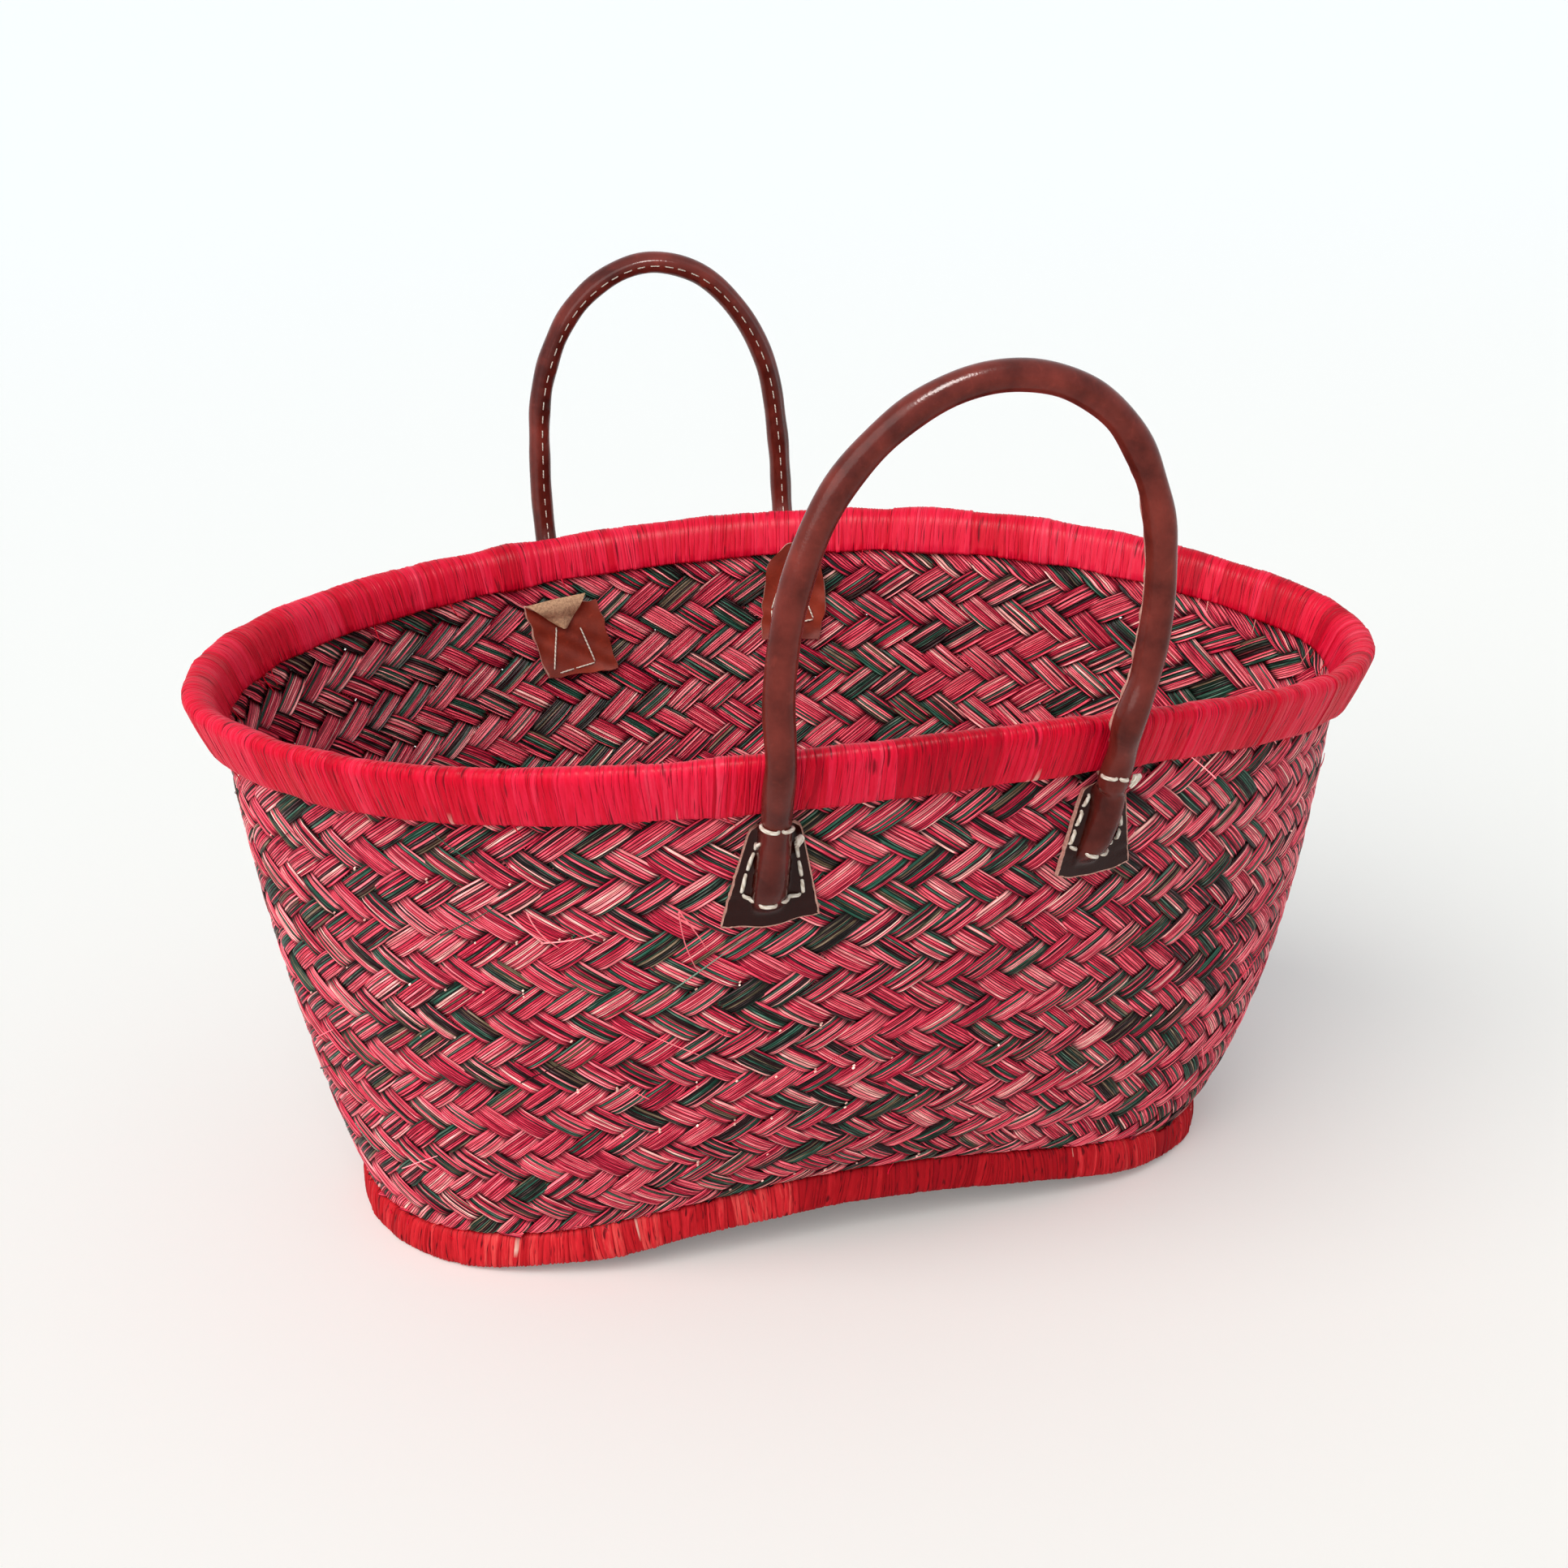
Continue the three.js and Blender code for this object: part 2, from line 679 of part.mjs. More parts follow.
// The origin is the middle of the space that the basket fills, on the ground
const bounds = new THREE.Box3().setFromObject(basket);
const centre = bounds.getCenter(new THREE.Vector3());
basket.position.set(-centre.x, -centre.y, -bounds.min.z);
const assembly = new THREE.Group();
assembly.add(basket);

export default assembly;
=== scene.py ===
"""An oval market basket: dyed twill plaiting, a raffia-wound rim and foot, and rolled leather handles.

Sizes in the shape code are millimetres. "turn" is an angle round the basket, 0 at the +X end.
"""
import math

import bpy
import numpy as np
from mathutils import Matrix, Vector
from mathutils.bvhtree import BVHTree


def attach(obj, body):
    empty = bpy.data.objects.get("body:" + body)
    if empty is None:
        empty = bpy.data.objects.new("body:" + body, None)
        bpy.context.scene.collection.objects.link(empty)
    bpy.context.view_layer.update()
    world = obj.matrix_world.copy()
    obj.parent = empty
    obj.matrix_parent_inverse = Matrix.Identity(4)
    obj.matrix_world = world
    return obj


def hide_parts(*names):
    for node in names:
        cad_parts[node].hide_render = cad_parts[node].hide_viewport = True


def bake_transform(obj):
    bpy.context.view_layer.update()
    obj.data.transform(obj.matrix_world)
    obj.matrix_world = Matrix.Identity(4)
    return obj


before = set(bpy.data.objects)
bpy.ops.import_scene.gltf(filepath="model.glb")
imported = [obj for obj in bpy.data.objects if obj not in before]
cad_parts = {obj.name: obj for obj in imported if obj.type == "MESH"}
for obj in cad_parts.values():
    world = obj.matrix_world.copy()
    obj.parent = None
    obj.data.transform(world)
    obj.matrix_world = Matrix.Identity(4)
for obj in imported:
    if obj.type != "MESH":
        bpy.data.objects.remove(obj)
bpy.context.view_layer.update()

bl_info = {
    "name": "Woven Market Basket",
    "version": (1, 0, 0),
    "blender": (4, 5, 0),
    "location": "3D View > Sidebar > Basket",
    "description": "Builds a plaited basket with raffia bindings and stitched leather handles",
    "category": "Add Mesh",
}

# The basket's measured shape

# From the middle of the rim's outline to the part's own origin
ORIGIN = np.array([-8.202, -6.038, 0.0])

RIM_HALF_LENGTH, RIM_HALF_WIDTH = 240, 165
RIM_TAPER, RIM_TIP, RIM_EGG, RIM_TWIST = 1.285, 0.02, 0.039, -0.056
RIM_HEIGHT, RIM_END_DROP, RIM_CORNER_RISE, RIM_TIP_DROP, RIM_SIDE_DROP = 228.6, 8.8, 4.4, 2.9, 4.1
BAND_HALF, BAND_OUTSIDE, BAND_INSIDE = 6, 23.2, 17
BAND_FLARE_ENDS, BAND_FLARE_SIDES = 10.6, 9.3
WALL_THICKNESS, WALL_INSET, WALL_TUCK = 2.2, 0.4, 4
WALL_ROUND = (1.51, 2.82)
WALL_STRAIGHT, WALL_RISE = 0.47, 1.19
FOOT_HALF_LENGTH, FOOT_HALF_WIDTH = 179.8, 104.7
FOOT_SQUARENESS, FOOT_WAIST, FOOT_SKEW, FOOT_ARCH = 0.85, 19.9, -0.03, 16.4
FOOT_HEIGHT, FOOT_THICKNESS, FOOT_BEDDING, FOOT_LIP, FOOT_ROUND = 14.8, 10, 0.5, 3, 2.5
CLEARANCE = 0.3
HANDLE_RADIUS = 5.5
HINGE_OFFSET = BAND_HALF + 2 * CLEARANCE + HANDLE_RADIUS
LEATHER_THICKNESS, TAB_LENGTH, TAB_SPREAD, TAB_TOP_WIDTH, TAB_FLARE = 1.6, 45.5, 17, 14, 0.85
TAB_FACE = LEATHER_THICKNESS + CLEARANCE
PATCH_FACE = WALL_THICKNESS + 0.8 + LEATHER_THICKNESS

# The roll over the cord's end: shares of the tab's length, and of the roll's radius off the tab
ROLLED_END = [(0.82, 0), (0.6, 0.5), (0.34, 0.85), (0.17, 1.2)]
ROLL_TOP = 0.03

# How far up a tab, in mm from the band, its flat section starts and ends turning into the roll
BLEND_FROM, BLEND_TO = 8.0, 0.9

# Each loop's middle line from the -X end, as shares of half the span and of the rise, and how far
# the rolled leather is squeezed flat. Each end has its hinge's and its tab's turn in degrees, its
# tab's length and wings as shares of the usual ones, how far the roll leans along the wall at the
# band and above it, how far the roll's foot lies along the wall, and how each wing flares
SIDES = ("left", "right")
HANDLES = {
    "front": {
        "rise": 125,
        "squeeze": 1,
        "bend": [
            (-1.04, 0), (-1.052, 0.21), (-0.96, 0.5), (-0.735, 0.745), (-0.33, 0.93), (0.09, 1),
            (0.5, 0.972), (0.83, 0.856), (1.05, 0.64), (1.107, 0.384), (1.045, 0.13), (0.963, 0),
        ],
        "left": {
            "hinge": 255.3, "tab": 254.9, "long": 1.033, "wide": (1.16, 0.92), "lean": (-0.9, -1.9),
            "skew": -2.6,
        },
        "right": {
            "hinge": 285, "tab": 286.6, "long": 0.967, "wide": (0.94, 1), "lean": (-4.5, -2.8),
            "skew": -5.6, "flare": (0.55, 0.85),
        },
    },
    "back": {
        "rise": 116,
        "squeeze": 0.86,
        "bend": [
            (-1, 0), (-0.99, 0.25), (-0.9, 0.58), (-0.64, 0.83), (-0.3, 0.96), (0.05, 1),
            (0.44, 0.94), (0.75, 0.78), (0.94, 0.57), (1, 0.3), (1, 0),
        ],
        "left": {
            "hinge": 101.8, "tab": 102, "long": 1.011, "wide": (1, 0.94), "lean": (0.4, 0.2), "skew": 1.0,
        },
        "right": {
            "hinge": 76.8, "tab": 76.2, "long": 0.989, "wide": (0.94, 1), "lean": (-0.3, -0.1), "skew": -0.8,
        },
    },
}

# Where the thread goes down through each tab: mm along the wall and mm below the band, in order
# from one side of the rolled part, down and under its end, and up to the other side
STITCH_HOLES = {
    "front_left": [
        (-6.6, 8.2), (-8.5, 15.0), (-11.7, 23.6), (-14.3, 32.6), (-9.2, 34.6), (-1.4, 34.8),
        (7.6, 35.4), (7.4, 28.4), (6.6, 20.6), (5.9, 12.4),
    ],
    "front_right": [
        (-7.6, 8.4), (-8.7, 15.2), (-9.8, 23.0), (-10.9, 30.4), (-7.0, 31.6), (-0.6, 32.6),
        (11.0, 31.0), (12.0, 25.6), (10.2, 19.2), (8.2, 11.6),
    ],
    "back_left": [
        (-5.6, 8.2), (-7.6, 15.4), (-9.6, 22.8), (-11.2, 30.4), (-7.4, 36.4), (-1.0, 38.4),
        (5.6, 37.6), (10.6, 33.6), (9.8, 26.4), (8.6, 18.8), (6.2, 10.6),
    ],
    "back_right": [
        (-5.8, 8.6), (-8.2, 16.4), (-10.2, 24.0), (-11.6, 31.0), (-6.6, 36.2), (0.0, 37.4),
        (6.6, 35.8), (10.8, 31.4), (9.4, 23.8), (7.8, 15.8), (5.8, 8.4),
    ],
}

# The two stitches that cross the roll at the band: degrees round it from its front towards the
# outside of the loop, and mm above the band's lower edge
OVER_STITCHES = {
    "front_left": [(98, 2.0), (5, 2.7), (-60, 0.6)],
    "front_right": [(-92, 4.4), (-17, 6.8), (24, 5.8)],
    "back_left": [(70, 2.0), (0, 2.0), (-66, 2.0)],
    "back_right": [(-70, 2.0), (0, 2.0), (66, 2.0)],
}

# Each knot's place in the same way, its height off the roll, its size, and its frayed end's slant
KNOTS = {
    "front_left": (-97, -8.6, 2.6, 1.15, 0.1),
    "front_right": (62, 4.8, 0.8, 1.25, 0.0),
    "back_left": (-100, -6.0, 3.0, 0.8, -0.2),
    "back_right": (100, -6.0, 3.0, 0.8, 0.2),
}

# The two sides of each backing patch inside, from its top down, and how far its top curls up
PATCH_SIDES = {
    "front_left": ([(17, 2), (15.5, 36)], [(-16, 1), (-18, 37.5)], 0),
    "front_right": ([(16, 1), (18, 36.5)], [(-15, 2.5), (-17, 35)], 0),
    "back_left": ([(19.5, 3), (11.6, 36)], [(-15.4, 5), (-22, 37)], 0),
    "back_right": ([(9.4, 0.2), (11.5, 16.7), (12.5, 31.8)], [(-15.8, -1), (-17.8, 17.9), (-13.6, 32.8)], 8),
}

# The corner of one patch that is turned down: its fold and its tip, each from one side to the other
FOLDED_PATCH = "back_left"
FOLD, FOLD_TIP = [(19.1, 2.0), (6.1, 1.2), (-9.9, 0.8)], [(4.2, 13.8), (2.4, 14.8), (0.4, 15.0)]

# The holes that show on the two patches at the back
INSIDE_HOLES = {
    "back_left": [(4.9, 13.5), (8.8, 34.9), (-1.5, 33.8), (-11.6, 32.7), (-6.1, 15.4)],
    "back_right": [
        (2.2, 4.5), (4.8, 10.8), (7.6, 18.6), (7.2, 25.8), (0.4, 26.4), (-6.4, 24.6), (-11.8, 23.8),
        (-9.4, 17.4), (-7.4, 8),
    ],
}

# Stems that stand out from the front: turn in degrees and height of each end
STRAY_STEMS = [
    ((246.3, 1.829), (248.9, 1.747)), ((246.3, 1.826), (247.9, 1.709)), ((229.3, 1.832), (232.9, 1.777)),
    ((231.3, 1.837), (234.4, 1.768)), ((232.5, 1.777), (238.9, 1.797)),
]

# Points to a crossing along each strip, and the width of a strip on the floor
WALL_STEPS, FLOOR_STEPS, FLOOR_PITCH = 6, 5, 9.3

# How much of a strip's width runs round the wall and how much up it, in crossings, and the height
# u at which the strips round the wall are equally wide
WIDTH_ROUND, WIDTH_UP, EVEN_HEIGHT = 0.295, 0.705, 1.55

# Dye lots of red, nearly black and mixed bundles: how common each kind is, its share of dark
# stems, the share above which a stem is pale, and how near to green its dark stems come
BUNDLE_KINDS = (0.67, 0.08, 0.25)
DARK_STEMS = np.array([0.21, 0.82, 0.5])
NOT_PALE_STEMS = np.array([0.925, 0.96, 0.88])
DARK_TONES = np.array([0.26, 0.32, 0.38])

# The seam of each handle: stitch to stitch, a stitch's length, its thread's radius, its place round
# the roll in radians from the front, and the bare length at each end
SEAM_PITCH, SEAM_STITCH, SEAM_THREAD, SEAM_ANGLE, SEAM_MARGIN = 6.2, 3.6, 0.25, 3.25, 44
CORE_RADIUS, CORE_SHORTER = 3.1, 6

SEED = 11
FULL_TURN = 2 * math.pi


def linear(code):
    """A colour written as an sRGB hex code, in linear light."""
    channels = [int(code[i : i + 2], 16) / 255 for i in (0, 2, 4)]
    return tuple(c / 12.92 if c <= 0.04045 else ((c + 0.055) / 1.055) ** 2.4 for c in channels)


def rim_outline(turn):
    """The middle of the rim's band, seen from above: an oval that is more pointed at one end."""
    swell = 1 + RIM_EGG * np.cos(3 * turn) + RIM_TWIST * np.sin(2 * turn)
    narrow = (np.sin(turn) ** 2 + RIM_TIP) ** ((RIM_TAPER - 1) / 2)
    x = RIM_HALF_LENGTH * np.cos(turn) * swell
    return np.stack([x, RIM_HALF_WIDTH * np.sin(turn) * narrow * swell], -1)


def rim_top(turn):
    """The height of the rim's uneven top."""
    twice = RIM_CORNER_RISE * np.sin(2 * turn) - RIM_END_DROP * np.cos(2 * turn)
    thrice = RIM_SIDE_DROP * np.sin(3 * turn) - RIM_TIP_DROP * np.cos(3 * turn)
    return RIM_HEIGHT + twice + thrice


def foot_oval(turn):
    """The foot's outer face before it is waisted and skewed, seen from above."""
    side = np.sign(np.sin(turn)) * np.abs(np.sin(turn)) ** FOOT_SQUARENESS
    return np.stack([FOOT_HALF_LENGTH * np.cos(turn), FOOT_HALF_WIDTH * side], -1)


def outward(outline, turn):
    """The way out of an outline."""
    along = outline(turn + 0.001) - outline(turn - 0.001)
    normal = np.stack([along[..., 1], -along[..., 0]], -1)
    return normal / np.linalg.norm(normal, axis=-1, keepdims=True)


def middle_share(x):
    """1 at the middle of the long sides and 0 at the ends."""
    return np.maximum(0, 1 - (x / FOOT_HALF_LENGTH) ** 2) ** 2


def on_rim(turn, n, h):
    """n outward from the middle of the rim's band and h up from its top."""
    turn, n, h = np.broadcast_arrays(turn, n, h)
    ends = np.cos(turn) ** 2
    lean = (BAND_FLARE_ENDS * ends + BAND_FLARE_SIDES * (1 - ends)) * h / BAND_OUTSIDE
    flat = rim_outline(turn) + outward(rim_outline, turn) * (n + lean)[..., None]
    return np.concatenate([flat, (rim_top(turn) + h)[..., None]], -1)


def on_foot(turn, n, h):
    """n outward from the foot's outer face and h up from its underside."""
    turn, n, h = np.broadcast_arrays(turn, n, h)
    flat = foot_oval(turn) + outward(foot_oval, turn) * n[..., None]
    x = flat[..., 0]
    y = flat[..., 1] * (1 - FOOT_WAIST / FOOT_HALF_WIDTH * middle_share(x)) + FOOT_SKEW * x
    z = np.maximum(0, FOOT_ARCH * middle_share(x) + h - FOOT_BEDDING)
    return np.stack([x, y, z], -1)


def on_weave(turn, u):
    """The outside of the plaiting: u is 1 where the wall starts, 2 at the band, 3 at its top edge."""
    turn, u = np.broadcast_arrays(turn, u)
    bottom = on_foot(turn, -1.0, FOOT_HEIGHT + FOOT_BEDDING + CLEARANCE)
    floor = bottom * np.minimum(u, 1)[..., None]
    floor[..., 2] = FOOT_ARCH * middle_share(floor[..., 0]) + FOOT_HEIGHT + CLEARANCE
    under = -BAND_OUTSIDE + np.maximum(u - 2, 0) * (BAND_OUTSIDE - WALL_TUCK)
    top = on_rim(turn, -WALL_INSET, under)
    v = np.clip(u - 1, 0, 1)
    fullness = WALL_ROUND[0] + (WALL_ROUND[1] - WALL_ROUND[0]) * (1 + np.cos(turn)) / 2
    spread = ((1 - WALL_STRAIGHT) * (1 - (1 - v) ** fullness) + WALL_STRAIGHT * v)[..., None]
    wall = bottom + (top - bottom) * spread
    wall[..., 2] = bottom[..., 2] + (top[..., 2] - bottom[..., 2]) * v**WALL_RISE
    return np.where((u <= 1)[..., None], floor, np.where((u > 2)[..., None], top, wall))


def unit(vectors):
    return vectors / np.maximum(np.linalg.norm(vectors, axis=-1, keepdims=True), 1e-9)


def weave_normal(turn, u):
    """The way out of the plaiting."""
    around = on_weave(turn + 0.004, u) - on_weave(turn - 0.004, u)
    up = on_weave(turn, u + 0.004) - on_weave(turn, u - 0.004)
    return unit(np.cross(around, up))


def off_weave(turn, u, out):
    """Points that stand out from the plaiting by a number of mm."""
    return on_weave(turn, u) + weave_normal(turn, u) * np.asarray(out)[..., None]


def off_wall(turn, s, t, n):
    """s mm along the wall from a turn, t mm down from the band and n mm out from it."""
    s, t, n = np.broadcast_arrays(s, t, n)
    length = np.linalg.norm(on_weave(turn, 1.6) - on_weave(turn, 2.0)) / 0.4
    u = 2 - np.where(t > 0, t / length, t / (BAND_OUTSIDE - WALL_TUCK))
    ends = on_weave(turn + 0.01, u) - on_weave(turn - 0.01, u)
    return off_weave(turn + s * 0.02 / np.linalg.norm(ends, axis=-1), u, n)


def running_length(points):
    """The length along each line of points, from 0 at its first one."""
    steps = np.linalg.norm(np.diff(points, axis=-2), axis=-1)
    return np.concatenate([np.zeros_like(steps[..., :1]), np.cumsum(steps, axis=-1)], axis=-1)


def interpolate(at, places, rows):
    """Each column of some rows that have rising places, read at other places."""
    return np.stack([np.interp(at, places, column) for column in np.asarray(rows, float).T], -1)


def smoothstep(value):
    """Eases from 0 to 1 as the value goes from 0 to 1."""
    value = np.clip(value, 0, 1)
    return value * value * (3 - 2 * value)


def ripple(rng, waves, terms=5):
    """A smooth random curve over one turn, about -1 to 1, with the given counts of waves."""
    counts = rng.integers(waves[0], waves[1] + 1, terms)
    phases = rng.uniform(0, FULL_TURN, terms)
    return lambda turn: sum(np.sin(c * turn + p) for c, p in zip(counts, phases)) / math.sqrt(terms)


def smooth_path(knots, step):
    """Points about a step apart on a centripetal curve through the knots."""
    knots = np.asarray(knots, float)
    padded = np.concatenate([[2 * knots[0] - knots[1]], knots, [2 * knots[-1] - knots[-2]]])
    pieces = []
    for four in zip(padded, padded[1:], padded[2:], padded[3:]):
        times = np.cumsum([0] + [math.sqrt(np.linalg.norm(q - p)) for p, q in zip(four, four[1:])])
        count = max(4, math.ceil(np.linalg.norm(four[2] - four[1])))
        t = np.linspace(times[1], times[2], count, endpoint=False)[:, None]
        # Each round mixes neighbours over longer spans, and the last over the middle span
        for spans in (((0, 1), (1, 2), (2, 3)), ((0, 2), (1, 3)), ((1, 2),)):
            shares = [(t - times[start]) / (times[end] - times[start]) for start, end in spans]
            four = [p * (1 - share) + q * share for p, q, share in zip(four, four[1:], shares)]
        pieces.append(four[0])
    fine = np.concatenate([*pieces, knots[-1:]])
    length = running_length(fine)
    return interpolate(np.linspace(0, length[-1], max(3, round(length[-1] / step) + 1)), length, fine)


# Meshes


def grid_faces(rows, columns, copies=1, closed=False):
    """Quads over grids of points, which are closed where each row meets its own start."""
    i = np.arange(rows - 1)[:, None]
    j = np.arange(columns if closed else columns - 1)[None, :]
    left, right = i * columns + j, i * columns + (j + 1) % columns
    quads = np.stack([left, right, right + columns, left + columns], -1).reshape(-1, 4)
    starts = np.arange(copies) * rows * columns
    return (quads[None] + starts[:, None, None]).reshape(-1, 4)


def make(name, points, faces, slot, layers=None, raw=None, finish=None, body="basket", stands_for=()):
    """A smooth-shaded mesh that rides on a body, with its slot's finish or another one.

    Layers are numbers or vectors kept per point, and raw is 1 on faces where leather is cut."""
    mesh = bpy.data.meshes.new(name)
    mesh.from_pydata(((points.reshape(-1, 3) + ORIGIN) / 1000).tolist(), [], faces.tolist())
    for label, values in (layers or {}).items():
        flat = np.ascontiguousarray(values, dtype=np.float32)
        kind, key = ("FLOAT_VECTOR", "vector") if flat.shape[-1] == 3 else ("FLOAT", "value")
        mesh.attributes.new(label, kind, "POINT").data.foreach_set(key, flat.ravel())
    mesh.shade_smooth()
    mesh.materials.append(finish_of(finish or slot))
    if raw is not None:
        mesh.materials.append(finish_of("cut_edge"))
        mesh.polygons.foreach_set("material_index", raw.astype(np.int32))
    piece = bpy.data.objects.new(name, mesh)
    bpy.context.scene.collection.objects.link(piece)
    if body:
        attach(piece, body)
    if stands_for:
        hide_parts(*stands_for)
    return piece


def thick_sheet(face, thickness, toward):
    """A sheet with raw edges: its face is a grid of points, and its back lies behind it.

    Returns points, quads, a mark on each quad that is 1 along the raw edge, and the point of the
    grid that each point comes from."""
    rows, columns = face.shape[:2]
    normal = unit(np.cross(np.gradient(face, axis=0), np.gradient(face, axis=1)))
    if np.dot(normal[rows // 2, columns // 2], toward) < 0:
        normal = -normal
    front, back = face.reshape(-1, 3), (face - normal * thickness).reshape(-1, 3)
    front_quads = grid_faces(rows, columns)
    count = rows * columns
    border = np.concatenate([
        np.arange(columns),
        np.arange(1, rows) * columns + columns - 1,
        (rows - 1) * columns + np.arange(columns - 2, -1, -1),
        np.arange(rows - 2, 0, -1) * columns,
    ])
    size = len(border)
    rim = 2 * count + np.arange(size)
    edges = np.stack([rim, np.roll(rim, -1), np.roll(rim, -1) + size, rim + size], -1)
    points = np.concatenate([front, back, front[border], back[border]])
    quads = np.concatenate([front_quads, front_quads[:, ::-1] + count, edges[:, ::-1]])
    raw = np.concatenate([np.zeros(2 * len(front_quads)), np.ones(size)])
    return points, quads, raw, np.concatenate([np.arange(count), np.arange(count), border, border])


def tube(path, radius, sides, across=None):
    """Points and quads of a round rod along a path, its ends drawn in to close them."""
    path = np.asarray(path, float)
    along = unit(np.gradient(path, axis=0))
    reference = np.array([0, 0, 1.0]) if across is None else across
    if across is None and np.abs(along @ reference).max() > 0.95:
        reference = np.array([0.6, 0.8, 0])
    first = unit(np.cross(along, reference))
    second = np.cross(along, first)
    radius = np.broadcast_to(radius, len(path))
    path, first, second = (np.concatenate([v[:1], v, v[-1:]]) for v in (path, first, second))
    radius = np.concatenate([[radius[0] * 0.02], radius, [radius[-1] * 0.02]])
    angle = (np.arange(sides) * FULL_TURN / sides)[:, None]
    ring = first[:, None] * np.cos(angle) + second[:, None] * np.sin(angle)
    points = path[:, None] + ring * radius[:, None, None]
    return points, grid_faces(len(path), sides, closed=True)


class Gathered:
    """Many small meshes and their layers, made into one piece."""

    def __init__(self):
        self.points, self.faces, self.layers, self.count = [], [], {}, 0

    def add(self, points, faces, **layers):
        """Takes a mesh. A layer is one number or vector for all its points, or one for each."""
        points = points.reshape(-1, 3)
        self.points.append(points)
        self.faces.append(faces + self.count)
        self.count += len(points)
        for label, values in layers.items():
            width = np.shape(values)[-1] if np.ndim(values) else 1
            rows = np.broadcast_to(np.reshape(values, (-1, width)), (len(points), width))
            self.layers.setdefault(label, []).append(rows)

    def make(self, name, slot, **settings):
        layers = {label: np.concatenate(parts) for label, parts in self.layers.items()}
        points, faces = np.concatenate(self.points), np.concatenate(self.faces)
        return make(name, points, faces, slot, layers=layers, **settings)


# Finishes


def node_adder(tree):
    """The function that adds a shader node to a tree."""

    def add(kind, inputs=(), stops=(), **settings):
        """Adds a node with its settings, its inputs and any ramp stops.

        The inputs are in a list, or in a dictionary by name or number. Each is a value or what it
        is linked to, where a node stands for its first output in use."""
        made = tree.nodes.new("ShaderNode" + kind)
        for key, value in settings.items():
            setattr(made, key, value)
        for key, value in inputs.items() if isinstance(inputs, dict) else enumerate(inputs):
            socket = made.inputs[key]
            if isinstance(value, bpy.types.Node):
                value = next(output for output in value.outputs if output.enabled)
            if isinstance(value, bpy.types.NodeSocket):
                tree.links.new(value, socket)
            else:
                socket.default_value = (*value, 1) if socket.type == "RGBA" else value
        for number, (place, colour) in enumerate(stops):
            elements = made.color_ramp.elements
            element = elements[number] if number < len(elements) else elements.new(1)
            element.position = place
            element.color = (*colour, 1)
        return made

    return add


def new_finish(name):
    """A material with an empty tree, and the function that adds its nodes."""
    finish = bpy.data.materials.new(name)
    finish.use_nodes = True
    finish.node_tree.nodes.clear()
    return finish, node_adder(finish.node_tree)


def close_finish(add, base, height, strength, distance, surface):
    """Ends a finish with its shader: a base colour, a bump from a height in mm, and plain values."""
    bump = add("Bump", {"Height": height, "Strength": strength, "Distance": distance / 1000})
    shader = add("BsdfPrincipled", {"Base Color": base, "Normal": bump, **surface})
    add("OutputMaterial", {"Surface": shader})


def plaited_stems(colours):
    """Split palm stems, boiled in dye and plaited while damp.

    Each stem is a thin round lath with its own dye lot, so a strip shows as fine lines of several colours.
    The black gaps between them are painted shade, some crests carry a painted waxy highlight that is partly
    also dye rubbed thin, and the corners where a strip dives under the next are painted darker as shade."""
    finish, add = new_finish("plaited_dyed_palm_stems")
    place = add("Attribute", attribute_name="stem").outputs["Vector"]
    across = add("SeparateXYZ", [place])
    dye = add("Attribute", attribute_name="dye").outputs["Vector"]
    tone, height, _ = add("SeparateXYZ", [dye]).outputs
    # Fibre streaks, about 0.25 mm wide and 15 mm long
    fine = add("VectorMath", [place, (3.5, 0.09, 1.7)], operation="MULTIPLY")
    streak = add("TexNoise", {"Vector": fine, "Scale": 1.0, "Detail": 3.0, "Roughness": 0.6})
    tone = add("Math", [streak, 0.22, tone], operation="MULTIPLY_ADD")
    stops = (
        (0.1, "black"), (0.19, "plum"), (0.24, "dark_green"), (0.33, "green"), (0.38, "dark_green"),
        (0.44, "olive"), (0.48, "plum"), (0.56, "crimson"), (0.72, "rose"), (0.88, "light_rose"),
        (1.0, "undyed"),
    )
    dyed = add("ValToRGB", [tone], [(at, colours[shade]) for at, shade in stops])
    light = add("MapRange", [streak, 0.3, 0.7, 0.5, 1.95])
    dyed = add("VectorMath", {0: dyed, "Scale": light}, operation="SCALE")
    # A painted highlight along some crests, partly also the dye rubbed thin there
    crest = add("Math", [across, math.pi], operation="MULTIPLY")
    crest = add("Math", [crest], operation="SINE")
    thin = add("Math", [crest, 10.0], operation="POWER")
    worn = add("MapRange", [streak, 0.5, 0.64, 0.0, 0.9])
    thin = add("Math", [thin, worn], operation="MULTIPLY")
    pale = add("VectorMath", [dyed, (1.2, 1.5, 1.5), (0.32, 0.2, 0.2)], operation="MULTIPLY_ADD")
    base = add("Mix", {0: thin, 6: dyed, 7: pale}, data_type="RGBA")
    # Painted shade: the grooves between stems are painted near black
    groove_shade = add("MapRange", [crest, 0.24, 0.68, 0.98, 0.0])
    base = add("Mix", {0: groove_shade, 6: base, 7: colours["gap"]}, data_type="RGBA")
    # Painted shade where a strip dives under the next, darkest in the corner
    depth = add("Math", [height], operation="ABSOLUTE")
    depth = add("MapRange", [depth, 0.1, 0.7, 0.2, 1.0])
    base = add("VectorMath", {0: base, "Scale": depth}, operation="SCALE")
    ridge = add("Math", [crest, 1.0, streak], operation="MULTIPLY_ADD")
    close_finish(add, base, ridge, 0.5, 0.25, {"Roughness": 0.32, "IOR": 1.5, "Specular IOR Level": 0.1})
    return finish


